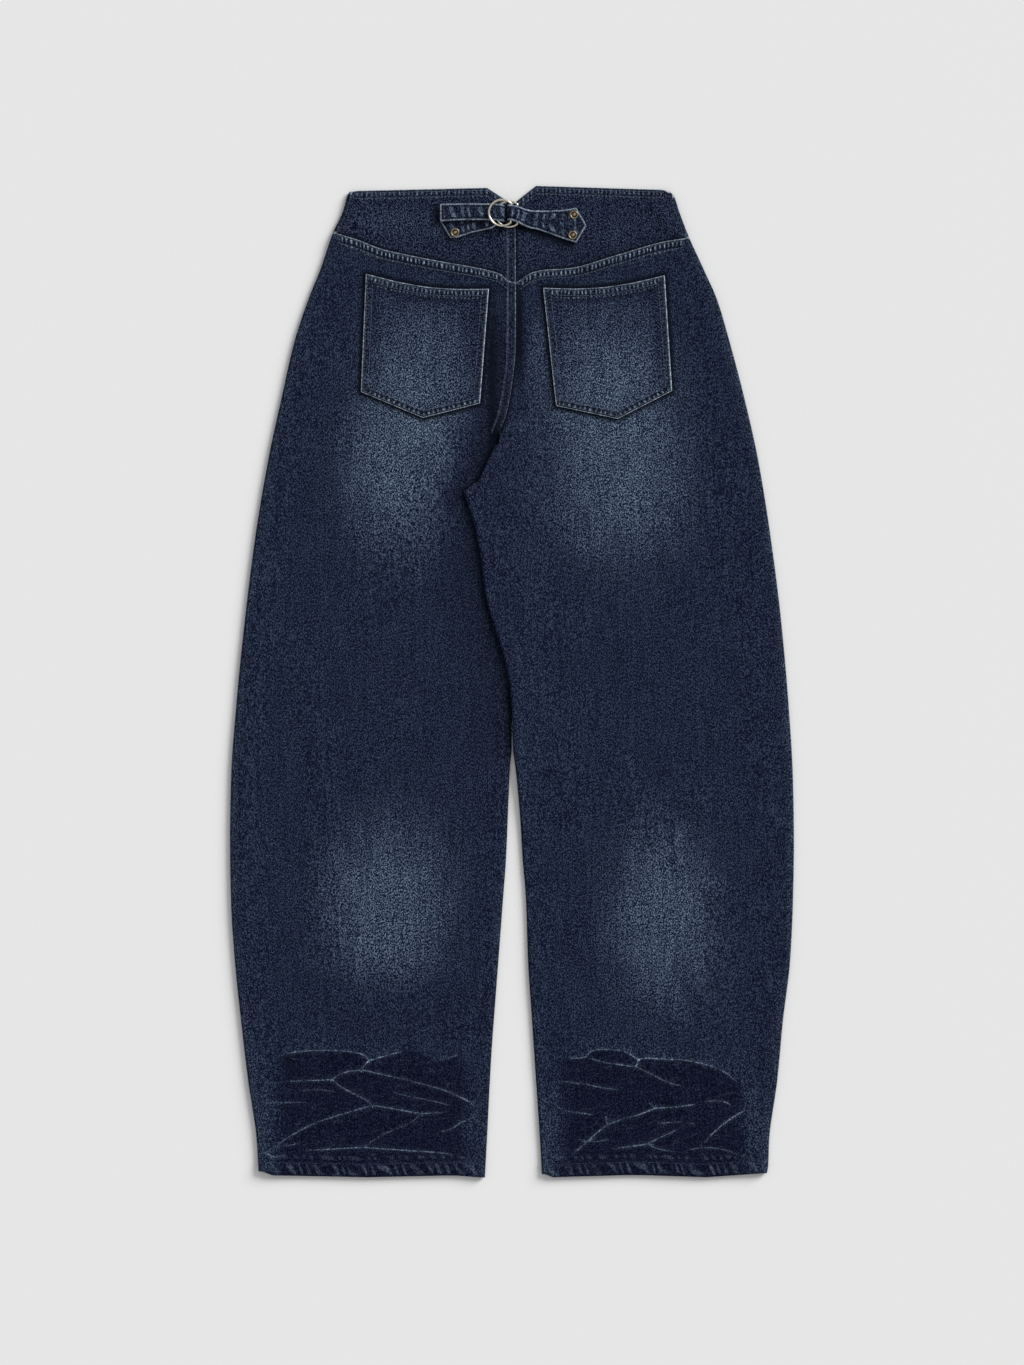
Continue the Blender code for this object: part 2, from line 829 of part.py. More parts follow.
def ring_path(ring):
    """Points round a D: the long round, then a small round at each end of the straight bar."""
    reach = ring.bar - ring.across
    inner = ring.radius - RING_CORNER
    corner_across = reach - RING_CORNER
    corner_down = math.sqrt(inner ** 2 - corner_across ** 2)
    turn_at = math.atan2(corner_down, corner_across)
    points = []
    for step in range(RING_STEPS + 1):
        angle = turn_at + (2 * math.pi - 2 * turn_at) * step / RING_STEPS
        points.append((ring.radius * math.cos(angle), ring.radius * math.sin(angle)))
    for number in range(1, 4):
        angle = -turn_at + turn_at * number / 3
        across = corner_across + RING_CORNER * math.cos(angle)
        points.append((across, -corner_down + RING_CORNER * math.sin(angle)))
    for number in range(0, 3):
        angle = turn_at * number / 3
        across = corner_across + RING_CORNER * math.cos(angle)
        points.append((across, corner_down + RING_CORNER * math.sin(angle)))
    slope = (ring.bar_height - ring.far_height) / (ring.radius + reach)
    return [
        (ring.across + a, ring.down + d, ring.far_height + (a + ring.radius) * slope)
        for a, d in points
    ]


def d_ring(ring):
    """A ring of round wire along its path."""
    path = ring_path(ring)
    bm = bmesh.new()
    loops = []
    for number, point in enumerate(path):
        before = path[number - 1]
        after = path[(number + 1) % len(path)]
        run = (after[0] - before[0], after[1] - before[1])
        size = math.hypot(*run)
        side = (-run[1] / size, run[0] / size)
        loop = []
        for step in range(RING_SIDES):
            angle = 2 * math.pi * (step + 0.5) / RING_SIDES
            out = WIRE_RADIUS * math.cos(angle)
            up = WIRE_RADIUS * math.sin(angle)
            place = (point[0] + side[0] * out, point[1] + side[1] * out, point[2] + up)
            loop.append(bm.verts.new(metres(place)))
        loops.append(loop)
    for number, loop in enumerate(loops):
        other = loops[(number + 1) % len(loops)]
        for step in range(RING_SIDES):
            after = (step + 1) % RING_SIDES
            bm.faces.new((loop[step], loop[after], other[after], other[step]))
    return make_object(ring.name, bm, SILVER, metallic=1.0, roughness=0.25)


# Turned profiles, from the rim to the middle: radius, height
RIVET_PROFILE = [(4.2, 0), (RIVET_RADIUS, 0.35), (4.1, 0.85), (2.3, 0.6), (1.5, 0.8), (1.1, 1.4)]
BUTTON_PROFILE = [(BUTTON_RADIUS - 0.7, 0), (BUTTON_RADIUS, 0.5), (BUTTON_RADIUS, BUTTON_HEIGHT)]


def turned(name, profile, place, colour, sides=16):
    """A closed turned piece with flat ends, its foot at a place across, down and up."""
    bm = bmesh.new()
    loops = []
    for radius, rise in profile:
        loop = []
        for step in range(sides):
            angle = 2 * math.pi * step / sides
            across = place[0] + radius * math.cos(angle)
            down = place[1] + radius * math.sin(angle)
            loop.append(bm.verts.new(metres((across, down, place[2] + rise))))
        loops.append(loop)
    for loop, other in zip(loops, loops[1:]):
        for step in range(sides):
            after = (step + 1) % sides
            bm.faces.new((loop[step], loop[after], other[after], other[step]))
    bm.faces.new(loops[0])
    bm.faces.new(loops[-1])
    return make_object(name, bm, colour, metallic=1.0, roughness=0.4)


# Rivets on the tabs: name, across, down, height of the strap under them
Rivet = namedtuple("Rivet", "name across down height")
RIVETS = [
    Rivet("rivet_left_lower", -59.8, 49.3, 5.1),
    Rivet("rivet_left_upper", -60.4, 26.2, 5.1),
    Rivet("rivet_right_upper", 65.1, 30.5, 5.5),
    Rivet("rivet_right_lower", 63.7, 52, 5.5),
]


def main():
    for thing in list(bpy.data.objects):
        bpy.data.objects.remove(thing)
    for side in SIDES:
        yoke(side)
        back_panel(side)
        front_panel(side)
        waistband(side)
    for spec in POCKETS:
        pocket(spec)
    left_turn = turn(STRAP_LEFT[-1], STRAP_LEFT_BACK[0], 1)
    strap("strap_left", STRAP_LEFT + left_turn + STRAP_LEFT_BACK)
    right_turn = turn(STRAP_RIGHT_UNDER[-1], STRAP_RIGHT[0], -1)
    strap("strap_right", STRAP_RIGHT_UNDER + right_turn + STRAP_RIGHT)
    for ring in RINGS:
        d_ring(ring)
    for rivet in RIVETS:
        turned(rivet.name, RIVET_PROFILE, (rivet.across, rivet.down, rivet.height + GAP), BRASS)
    turned("button", BUTTON_PROFILE, (0, BUTTON_DOWN, 0), BRASS, sides=20)


main()
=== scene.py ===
"""Looks of the jeans laid flat: fine cloth with its seams, creases, stitches and wear.

The shape functions work in millimetres: across is measured to the right of the centre line,
down from the waist edge towards the hems, and height above the surface that the jeans lie on.
Left and right are those of the picture of the back. Meshes are made in metres.
"""

import math
from collections import namedtuple

import bpy
import numpy as np
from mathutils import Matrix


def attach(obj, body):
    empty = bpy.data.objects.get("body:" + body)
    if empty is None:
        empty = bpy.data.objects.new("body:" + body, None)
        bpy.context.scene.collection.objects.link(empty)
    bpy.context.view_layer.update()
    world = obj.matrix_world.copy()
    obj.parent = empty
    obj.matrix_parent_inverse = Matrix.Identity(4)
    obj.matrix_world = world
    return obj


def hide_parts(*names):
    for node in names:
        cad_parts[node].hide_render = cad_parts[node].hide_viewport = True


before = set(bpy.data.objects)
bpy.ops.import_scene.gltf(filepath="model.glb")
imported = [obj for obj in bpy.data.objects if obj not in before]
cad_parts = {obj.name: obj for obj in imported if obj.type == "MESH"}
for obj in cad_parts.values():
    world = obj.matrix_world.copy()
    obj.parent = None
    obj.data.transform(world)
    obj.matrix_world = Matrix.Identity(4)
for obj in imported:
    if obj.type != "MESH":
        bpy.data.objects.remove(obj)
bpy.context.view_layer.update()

# Driving sizes of the solids
LENGTH = 1041.0
WALL = 1.3
HEM_WALL = 1.8
HEM_DEPTH = 15.0
HEM_START = LENGTH - HEM_DEPTH
GAP = 0.3
REST_GAP = 0.42
FLAT_HEIGHT = 3.2
OUTER_EDGE_HEIGHT = 4.9
INNER_EDGE_HEIGHT = 4.0
NOSE_DEPTH = 3.4
NOSE_HOLLOW = 0.15
INSEAM_TUCK = 7.0
FORK_STEP = 3
CROTCH = 320.0
FORK_END = 590.0
LEVEL = 180.0
FRONT_WAIST_CENTRE = 41.0
FRONT_WAIST_SIDE = 7.5
WAISTBAND_CENTRE = 79.0
POCKET_WALL = 1.3
STRAP_WALL = 1.4
WIRE_RADIUS = 1.15
BUTTON_DOWN = 61.0

# Relief of the upper cloth, as in the solids
OUTER_EDGE_SPREAD = 24.0
INNER_EDGE_SPREAD = 16.0
HEM_LIFT = 1.0
YOKE_SEAM_LIFT = 0.6
YOKE_SEAM_MIDDLE = 5.0
CENTRE_SEAM_LIFT = 0.7
CENTRE_SEAM_MIDDLE = 4.0
SEAM_SPREAD = 6.0
CENTRE_SEAM_START = 48.0
CENTRE_SEAM_EASE = 14.0
FOLD_START = 240.0
FOLD_FULL = 260.0
BUTTON_LIFT = 1.75
BUTTON_LIFT_FULL = 11.0
BUTTON_LIFT_END = 25.0
UPPER_SLOPE = (-3.0, 46.0)
UPPER_SLOPE_END = 690.0
LOWER_SLOPE = (0.5, 14.5)
LOWER_SLOPE_END = 650.0
CROTCH_RISE = 24.0

# Fineness of the outer cloth
ROW_STEP = 2.5
CALF_ROW_STEP = 1.35
CALF_START = 895.0
COLUMN_STEP = 1.9
LOWER_STEP = 3.2
YOKE_STEP = 1.6
FRONT_COARSER = 1.25
PANEL_TURNS = 5
CLOTH_SHARP = 50
TRIM_SHARP = 60

# About how large the pieces are, and the middles from which their rows are sought
PANEL_WIDTH = 290
YOKE_WIDTH = 185
YOKE_DEPTH = 85
YOKE_MIDDLE = 40.0
BAND_DEPTH = 40
BAND_MIDDLE = 30.0
POCKET_WIDTH = 138
LOWER_MIDDLE = 500.0

Edge = namedtuple("Edge", "down left right")
OUTER_EDGES = [
    Edge(5, -170, 165),
    Edge(11, -173, 170),
    Edge(27, -177.5, 175.5),
    Edge(52, -189, 185),
    Edge(86, -200.5, 200.5),
    Edge(120, -214, 215.5),
    Edge(162, -228, 228),
    Edge(225, -242.5, 244.5),
    Edge(288, -256, 258.5),
    Edge(372, -270, 272),
    Edge(456, -280.5, 282.5),
    Edge(540, -289, 290),
    Edge(624, -295, 295),
    Edge(687, -296, 296),
    Edge(750, -295, 295),
    Edge(813, -291, 292),
    Edge(876, -284.5, 284.5),
    Edge(939, -277, 278.5),
    Edge(1002, -268, 270),
    Edge(1028, -266.5, 269),
    Edge(1041, -265.5, 266.5),
]

Point = namedtuple("Point", "down across")
CENTRE_SEAM = [
    Point(19, 0.8),
    Point(48, 3.8),
    Point(102, 4.2),
    Point(138, 4.2),
    Point(174, 3.8),
    Point(210, 0),
    Point(240, -5.8),
    Point(262, -12.8),
]
LEFT_INNER = CENTRE_SEAM + [
    Point(278, -3),
    Point(320, -0.5),
    Point(590, -0.5),
    Point(609, -2.1),
    Point(644, -3.6),
    Point(707, -6.3),
    Point(750, -9.5),
    Point(834, -15.8),
    Point(918, -22),
    Point(1002, -26.3),
    Point(1041, -28.4),
]
RIGHT_INNER = CENTRE_SEAM + [
    Point(281, -22),
    Point(297, -29.5),
    Point(311, -37),
    Point(317, -46),
    Point(320, -50.5),
    Point(329, -48.3),
    Point(355, -40),
    Point(391, -33),
    Point(432, -27.3),
    Point(452, -22),
    Point(480, -13),
    Point(504, -6.3),
    Point(525, -2.6),
    Point(551, -0.5),
    Point(590, 1),
    Point(616, 4.2),
    Point(662, 8.4),
    Point(707, 11.2),
    Point(750, 14.7),
    Point(813, 16.8),
    Point(876, 21),
    Point(939, 25.2),
    Point(1002, 29.4),
    Point(1041, 31.5),
]

Tuck = namedtuple("Tuck", "down left right")
OUTSEAM_TUCK = [
    Tuck(5, 3.9, 3.9),
    Tuck(52, 4.0, 4.0),
    Tuck(200, 5.0, 6.0),
    Tuck(400, 5.5, 7.0),
    Tuck(1041, 5.5, 7.5),
]

Place = namedtuple("Place", "across down")
WAIST_EDGE = [
    Place(-173, 9.5),
    Place(-170, 6.3),
    Place(-160, 5.3),
    Place(-26.3, 2.1),
    Place(0.8, 19.4),
    Place(25.2, 0),
    Place(156.5, 4.2),
    Place(165, 6.0),
    Place(170, 10),
]
YOKE_SEAM_LEFT = [
    Place(-186, 49.4),
    Place(-161.7, 56.7),
    Place(-137.6, 66),
    Place(-114.5, 71.4),
    Place(-83, 77.7),
    Place(-26.3, 88.2),
    Place(-12.6, 92.4),
    Place(-3.2, 99.8),
    Place(4.2, 101.9),
]
YOKE_SEAM_RIGHT = [
    Place(4.2, 101.9),
    Place(10.5, 97.7),
    Place(20, 91.4),
    Place(33.6, 88.2),
    Place(58.8, 86.6),
    Place(110.3, 72.5),
    Place(160.7, 58.3),
    Place(186, 54.6),
]
HEM_EDGE = [
    Place(-266, 1033),
    Place(-251, 1038.5),
    Place(-151, 1040.5),
    Place(-61, 1038.5),
    Place(-28, 1041),
    Place(31.5, 1036),
    Place(43, 1040.5),
    Place(129, 1038),
    Place(204, 1040.5),
    Place(267, 1036),
]

Fold = namedtuple("Fold", "side across_from down_from across_to down_to width height")
FOLDS = [
    Fold("left", -15, 112, -13, 200, 5, -0.4),
    Fold("left", -22, 130, -19, 258, 8, 0.9),
    Fold("left", -226, 480, -204, 580, 13, 1.2),
    Fold("left", -204, 580, -199, 800, 13, 1.2),
    Fold("left", -60, 300, -130, 420, 24, 0.9),
    Fold("left", -150, 830, -60, 880, 18, 0.9),
    Fold("left", -230, 905, -80, 935, 14, 0.8),
    Fold("left", -215, 985, -110, 975, 12, 0.7),
    Fold("right", 10, 440, 60, 470, 18, 0.9),
    Fold("right", 30, 545, 66, 660, 16, 1.2),
    Fold("right", 108, 615, 160, 700, 18, 1.1),
    Fold("right", 213, 745, 216, 905, 14, 1.1),
    Fold("right", 205, 150, 238, 380, 16, 0.9),
    Fold("right", 250, 430, 268, 640, 14, 0.9),
    Fold("right", 60, 905, 210, 930, 14, 0.8),
    Fold("right", 80, 990, 190, 960, 12, 0.7),
    Fold("right", 152, 22, 172, 54, 7, 0.8),
]

# Thin worn creases of the calves: how worn, then places across and down
Crease = namedtuple("Crease", "side worn places")
CREASES = [
    Crease("left", 0.8, [(-246, 915), (-233, 909), (-198, 907), (-173, 908), (-156, 911), (-150, 918)]),
    Crease("left", 1.0, [(-150, 918), (-139, 915), (-126, 911), (-113, 908)]),
    Crease("left", 1.0, [(-150, 918), (-156, 924), (-157, 928), (-170, 929), (-181, 932), (-189, 938)]),
    Crease("left", 0.7, [(-189, 938), (-203, 939), (-216, 939), (-236, 940)]),
    Crease("left", 0.75, [(-157, 928), (-139, 932), (-116, 937), (-93, 943), (-70, 949), (-45, 961)]),
    Crease("left", 0.8, [(-189, 938), (-181, 945), (-166, 953), (-153, 959), (-147, 965)]),
    Crease("left", 1.0, [(-147, 965), (-133, 967), (-116, 970), (-96, 974), (-81, 973), (-66, 972)]),
    Crease("left", 0.8, [(-147, 965), (-184, 976), (-209, 984), (-236, 999), (-249, 1009), (-261, 1015)]),
    Crease("left", 0.6, [(-264, 963), (-242, 962), (-224, 962), (-213, 963)]),
    Crease("left", 0.4, [(-96, 974), (-105, 983), (-119, 989), (-137, 996), (-156, 1009)]),
    Crease("left", 0.35, [(-45, 961), (-37, 968), (-37, 977), (-54, 983)]),
    Crease("left", 0.8, [(-54, 983), (-63, 990), (-75, 993)]),
    Crease("left", 0.8, [(-224, 1013), (-173, 1010), (-156, 1009), (-133, 1011), (-70, 1015), (-56, 1018)]),
    Crease("left", 0.6, [(-156, 1009), (-149, 1004)]),
    Crease("left", 0.6, [(-85, 918), (-72, 917), (-56, 912)]),
    Crease("left", 1.0, [(-262, 1010), (-256, 1017), (-247, 1020), (-238, 1016)]),
    Crease("left", 0.5, [(-246, 1004), (-235, 1008), (-222, 1004)]),
    Crease("left", 0.45, [(-128, 950), (-108, 956), (-84, 960), (-62, 966)]),
    Crease("left", 0.4, [(-226, 950), (-204, 948), (-184, 951)]),
    Crease("right", 0.45, [(66, 1000), (86, 1004), (104, 1000)]),
    Crease("right", 0.4, [(150, 985), (172, 982), (196, 985)]),
    Crease("right", 0.7, [(56, 915), (69, 916), (79, 914), (82, 907), (107, 906), (120, 909), (132, 917)]),
    Crease("right", 1.0, [(132, 917), (141, 915), (163, 917), (182, 917), (219, 926), (239, 943)]),
    Crease("right", 0.9, [(132, 917), (131, 925), (118, 923), (96, 920), (79, 915)]),
    Crease("right", 0.7, [(131, 925), (146, 932), (163, 941), (182, 946)]),
    Crease("right", 0.7, [(48, 939), (62, 941), (79, 943), (96, 947), (114, 949)]),
    Crease("right", 0.7, [(46, 966), (58, 972), (72, 973), (86, 975)]),
    Crease("right", 1.0, [(60, 1020), (84, 998), (100, 985), (118, 979), (136, 974), (150, 968)]),
    Crease("right", 0.9, [(150, 968), (170, 967), (193, 964)]),
    Crease("right", 0.6, [(150, 968), (144, 962)]),
    Crease("right", 0.6, [(100, 985), (98, 976)]),
    Crease("right", 0.7, [(201, 961), (223, 960), (232, 967)]),
    Crease("right", 1.0, [(249, 968), (234, 976), (221, 985), (210, 995), (201, 1005)]),
    Crease("right", 0.9, [(103, 1011), (125, 1008), (142, 1006), (153, 1000), (177, 989)]),
    Crease("right", 0.6, [(142, 1006), (153, 1011), (172, 1014)]),
    Crease("right", 0.6, [(182, 1012), (201, 1009), (223, 1011), (238, 1017)]),
]
CREASE_HEIGHT = 0.45
CREASE_WIDTH = 1.9
CREASE_POWER = 1.4
CALF_WAVES = 0.35
LEG_WAVES = 0.22
CREASE_REACH = 8.0
CREASE_TAPER = 0.14
CALF_FADE = 40.0
CREASE_STEP = 0.5
CREASE_FIELD = (-290.0, 290.0, 890.0, 1041.0)

# Upper border of the darker creased cloth of each calf, across and down
CALF_TOP_LEFT = [
    (-262, 960), (-254, 926), (-246, 914), (-233, 908), (-198, 905), (-173, 907), (-156, 910), (-150, 917),
    (-139, 914), (-126, 910), (-113, 906), (-98, 908), (-85, 914), (-70, 915), (-56, 910), (-42, 926),
    (-32, 968),
]
CALF_TOP_RIGHT = [
    (34, 968), (40, 928), (56, 913), (69, 914), (79, 912), (84, 906), (107, 904), (120, 908), (132, 915),
    (182, 915), (201, 920), (219, 925), (230, 932), (242, 944), (254, 972), (262, 1000),
]

# Fades, and stripes that are darker where worn is below 0: middle, half width and half length. The dark
# stripes beside the centre seam are painted shade.
Fade = namedtuple("Fade", "side across down width length worn")
FADES = [
    Fade("left", -92, 190, 54, 64, 0.48),
    Fade("left", -112, 286, 54, 82, 0.7),
    Fade("left", -150, 320, 34, 50, 0.14),
    # Painted shade in the hollows either side of the centre seam
    Fade("left", -20.5, 192, 5.5, 76, -0.95),
    Fade("left", -31, 180, 6, 70, -0.25),
    Fade("left", -11, 190, 5, 70, -0.42),
    Fade("right", 7.5, 150, 5, 54, -0.95),
    Fade("right", 25, 185, 10, 44, 0.2),
    Fade("right", 96, 190, 58, 64, 0.44),
    Fade("right", 109, 290, 61, 90, 0.72),
    Fade("right", 160, 330, 40, 60, 0.1),
    Fade("left", -131, 754, 57, 80, 0.7),
    Fade("left", -112, 860, 90, 30, -0.16),
    Fade("right", 158, 765, 48, 80, 0.7),
    Fade("left", -120, 42, 50, 24, 0.13),
    Fade("right", 104, 58, 34, 12, 0.08),
    Fade("left", -62, 987, 17, 12, 0.3),
    Fade("left", -258, 990, 14, 46, 0.09),
    Fade("right", 42, 990, 14, 46, 0.12),
    Fade("right", 244, 990, 16, 40, 0.2),
]

# Rows of the solids' grids: shares of the way from the seam to the level row, then places down
SEAM_ROWS = (0, 0.035, 0.09, 0.16, 0.32, 0.6, 1)
BODY_ROWS = (210, 240, 262, 272, 284, 297, 309, CROTCH - 0.2, CROTCH + 0.2, 329, 350, 380)
LEG_ROWS = (410, 440, 466, 486, 504, 540, 590, 620, 670, 720, 780, 840, 900, 950, 1000)
HEM_ROWS = (HEM_START - 2, HEM_START, LENGTH)
YOKE_ROWS = (0, 0.12, 0.3, 0.42, 0.54, 0.68, 0.84, 1)
ROW_SCALE = 1000.0
PANEL_ROWS = list(SEAM_ROWS)
PANEL_ROWS += [1 + (down - LEVEL) / ROW_SCALE for down in BODY_ROWS + LEG_ROWS + HEM_ROWS]
FIRST_TUBE_ROW = len(SEAM_ROWS) + BODY_ROWS.index(CROTCH + 0.2)
FIRST_FOLD_ROW = len(SEAM_ROWS) + BODY_ROWS.index(262) + 1

BACK_SHARES = (0, 0.05, 0.12, 0.2, 0.29, 0.38, 0.47, 0.56, 0.65, 0.75, 0.846, 0.9, 0.95, 0.975, 1)
FRONT_SHARES = (0, 0.2, 0.4, 0.6, 0.8, 1)
LEFT_STEPS = (26, 16, 8, 0)
RIGHT_STEPS = (34, 24, 16, 10.5, 6.5, 3.5, 0)
FORK_SHARES = (0.14, 0.5, 1)
NOSE_ANGLES = (60, 30, 0, -30, -60)

SIDES = {"left": 1, "right": -1}
FAR = 99.0


def curve(rows, position, value=1):
    """Values at positions between the rows of a table, on a smooth curve that never overshoots."""
    keys = np.array([row[0] for row in rows], float)
    values = np.array([row[value] for row in rows], float)
    rise = np.diff(values) / np.diff(keys)
    same = rise[:-1] * rise[1:] > 0
    total = np.where(same, rise[:-1] + rise[1:], 1.0)
    slope = np.concatenate([rise[:1], np.where(same, 2 * rise[:-1] * rise[1:] / total, 0), rise[-1:]])
    spot = np.clip(position, keys[0], keys[-1])
    index = np.clip(np.searchsorted(keys, spot) - 1, 0, len(rise) - 1)
    width = keys[index + 1] - keys[index]
    share = (spot - keys[index]) / width
    swing = share * share * (3 - 2 * share)
    start = share * (1 - share) ** 2 * width * slope[index]
    end = share * share * (share - 1) * width * slope[index + 1]
    return values[index] + (values[index + 1] - values[index]) * swing + start + end


def straight(rows, position):
    """Values at positions between the rows of a table, on straight lines."""
    return np.interp(position, [row[0] for row in rows], [row[1] for row in rows])


def ease(position, start, end):
    """Smooth step from 0 at start to 1 at end."""
    share = np.clip((position - start) / (end - start), 0, 1)
    return share * share * (3 - 2 * share)


def bump(distance, width):
    return np.exp(-((distance / width) ** 2))


def outer_edge(side, down):
    return curve(OUTER_EDGES, down, value=1 if side == "left" else 2)


def inner_edge(side, down):
    return curve(LEFT_INNER if side == "left" else RIGHT_INNER, down)


def tuck(side, down):
    return curve(OUTSEAM_TUCK, down, value=1 if side == "left" else 2)


def yoke_seam(side, across):
    return curve(YOKE_SEAM_LEFT if side == "left" else YOKE_SEAM_RIGHT, across)


def front_share(side, across):
    """1 at the centre front, 0 at the side seam."""
    reach = abs(outer_edge(side, FRONT_WAIST_SIDE))
    return np.maximum(0.0, 1 - (across / reach) ** 2)


def front_waist(side, across):
    return FRONT_WAIST_SIDE + (FRONT_WAIST_CENTRE - FRONT_WAIST_SIDE) * front_share(side, across)


def band_seam(side, across):
    """Lower edge of the front waistband, level with the yoke seam at the side."""
    start = YOKE_SEAM_LEFT[0].down if side == "left" else YOKE_SEAM_RIGHT[-1].down
    return start + (WAISTBAND_CENTRE - start) * front_share(side, across)


def in_hem(down):
    """0 above the hem's fold, 1 in the hem."""
    return ease(down, HEM_ROWS[0], HEM_ROWS[1])


def wall(down):
    return WALL + (HEM_WALL - WALL) * in_hem(down)


def along_line(across, down, first, last):
    """Distance to a straight line between two places, and the share of the way along it."""
    run = (last[0] - first[0], last[1] - first[1])
    start = (across - first[0], down - first[1])
    share = np.clip((start[0] * run[0] + start[1] * run[1]) / (run[0] ** 2 + run[1] ** 2), 0, 1)
    return np.hypot(start[0] - run[0] * share, start[1] - run[1] * share), share


def fold_height(side, across, down):
    total = 0.0
    for fold in FOLDS:
        if fold.side == side:
            ends = (fold[1:3], fold[3:5])
            total = total + fold.height * bump(along_line(across, down, *ends)[0], fold.width)
    return total


def button_lift(across, down):
    """The front waistband rises over the button, and the yoke with it."""
    off = np.hypot(across, down - BUTTON_DOWN)
    return BUTTON_LIFT * (1 - ease(off, BUTTON_LIFT_FULL, BUTTON_LIFT_END))


def seam_lift(side, across, down):
    """Extra height of the felled seams below the yoke and beside the centre line."""
    below = down - yoke_seam(side, across)
    total = YOKE_SEAM_LIFT * bump(below - YOKE_SEAM_MIDDLE, SEAM_SPREAD)
    if side == "left":
        beside = inner_edge(side, down) - across - CENTRE_SEAM_MIDDLE
        start = ease(down, CENTRE_SEAM_START, CENTRE_SEAM_START + CENTRE_SEAM_EASE) * (down < FOLD_FULL)
        total = total + CENTRE_SEAM_LIFT * bump(beside, SEAM_SPREAD) * start
    return total


def own_height(side, across, down):
    """Height of the upper cloth of one side where nothing but its own lower cloth is under it."""
    outside = abs(across - outer_edge(side, down))
    height = FLAT_HEIGHT + (OUTER_EDGE_HEIGHT - FLAT_HEIGHT) * bump(outside, OUTER_EDGE_SPREAD)
    inside = abs(across - inner_edge(side, down))
    rise = (INNER_EDGE_HEIGHT - FLAT_HEIGHT) * ease(down, CROTCH - CROTCH_RISE, CROTCH)
    height = height + rise * bump(inside, INNER_EDGE_SPREAD)
    height = height + HEM_LIFT * in_hem(down)
    return height + fold_height(side, across, down) + seam_lift(side, across, down)


def fork_share(down):
    """1 where the right leg lies on the left one, easing to 0 above and below."""
    return ease(down, FOLD_START, FOLD_FULL) * (1 - ease(down, FORK_END, UPPER_SLOPE_END))


def left_height(across, down):
    """Height of the left side's upper cloth, kept level beyond its rounded inner edge."""
    return own_height("left", np.minimum(across, inner_edge("left", down) - NOSE_DEPTH), down)


def top_height(side, across, down):
    """Height of the outer surface of the upper cloth, as in the solids."""
    height = own_height(side, across, down) + button_lift(across, down)
    if side == "right":
        lift = left_height(across, down) + REST_GAP
        height = height + lift * (1 - ease(across, *UPPER_SLOPE)) * fork_share(down)
    return height


def bottom_height(side, across, down):
    """Height of the outer surface of the lower cloth, which rises over the other leg."""
    if side == "left":
        return button_lift(across, down)
    edge = inner_edge("left", np.maximum(down, CROTCH))
    over = 1 - ease(across - edge, *LOWER_SLOPE)
    ends = ease(down, CROTCH - CROTCH_RISE, CROTCH) * (1 - ease(down, FORK_END, LOWER_SLOPE_END))
    above = INNER_EDGE_HEIGHT + REST_GAP
    rest = np.where(down >= CROTCH, left_height(across, down) + REST_GAP, above)
    return button_lift(across, down) + rest * over * ends


def fold_bottom(side, across, down):
    """Height of the underside of a leg's turned edge, which lies on the left panel at the fold."""
    low = bottom_height(side, across, down)
    if side == "left":
        return low
    return np.where(down >= CROTCH, low, left_height(across, down) + REST_GAP)


def swell(across, down, seed, size):
    """Uneven waves about one unit high, of about the given size, the same on every run."""
    total = 0.0
    for number in range(5):
        angle = seed * 1.7 + number * 2.4
        length = size * (0.7 + 0.37 * number)
        phase = (across * math.cos(angle) + down * math.sin(angle)) / length * 2 * math.pi
        total = total + np.sin(phase + seed * 3.1 + number * 1.9) / (1.6 + 0.3 * number)
    return total / 2


def rounded_line(places):
    """The places of a crease with their corners cut off, twice, and the ends kept."""
    line = [np.array(place, float) for place in places]
    for _ in range(2):
        cut = [line[0]]
        for first, second in zip(line, line[1:]):
            cut += [first * 0.75 + second * 0.25, first * 0.25 + second * 0.75]
        line = cut + [line[-1]]
    return line


def crease_ends():
    """How often each end of the creases is met by another crease."""
    met = {}
    for crease in CREASES:
        for place in set(crease.places):
            met[(crease.side, place)] = met.get((crease.side, place), 0) + 1
    return met


def crease_fields(side):
    """Fields over the calf: distance to the nearest crease, its sign, and how worn it is."""
    left, right, top, bottom = CREASE_FIELD
    across, down = np.meshgrid(np.arange(left, right, CREASE_STEP), np.arange(top, bottom, CREASE_STEP))
    near = np.full(across.shape, CREASE_REACH)
    signed = np.full(across.shape, CREASE_REACH)
    worn = np.zeros(across.shape)
    met = crease_ends()
    for crease in CREASES:
        if crease.side != side:
            continue
        joined = [met[(side, crease.places[end])] > 1 for end in (0, -1)]
        line = rounded_line(crease.places)
        sizes = [math.dist(first, second) for first, second in zip(line, line[1:])]
        begun = 0.0
        for first, second, size in zip(line, line[1:], sizes):
            low = np.minimum(first, second) - CREASE_REACH - (left, top)
            high = np.maximum(first, second) + CREASE_REACH - (left, top)
            columns = slice(max(0, int(low[0] / CREASE_STEP)), max(0, int(high[0] / CREASE_STEP)))
            rows = slice(max(0, int(low[1] / CREASE_STEP)), max(0, int(high[1] / CREASE_STEP)))
            x, y = across[rows, columns], down[rows, columns]
            off, share = along_line(x, y, first, second)
            turn_side = (second[0] - first[0]) * (y - first[1]) - (second[1] - first[1]) * (x - first[0])
            done = (begun + share * size) / sum(sizes)
            start = 1.0 if joined[0] else ease(done, 0, CREASE_TAPER)
            end = 1.0 if joined[1] else ease(1 - done, 0, CREASE_TAPER)
            knots = joined[0] * bump(done, 0.12) + joined[1] * bump(1 - done, 0.12)
            strength = crease.worn * start * end * (0.72 + 0.4 * knots + 0.14 * np.sin(done * 9 + size))
            closer = off < near[rows, columns]
            near[rows, columns] = np.where(closer, off, near[rows, columns])
            found = np.where(turn_side < 0, -off, off)
            signed[rows, columns] = np.where(closer, found, signed[rows, columns])
            worn[rows, columns] = np.where(closer, strength, worn[rows, columns])
            begun += size
    return near, signed, worn


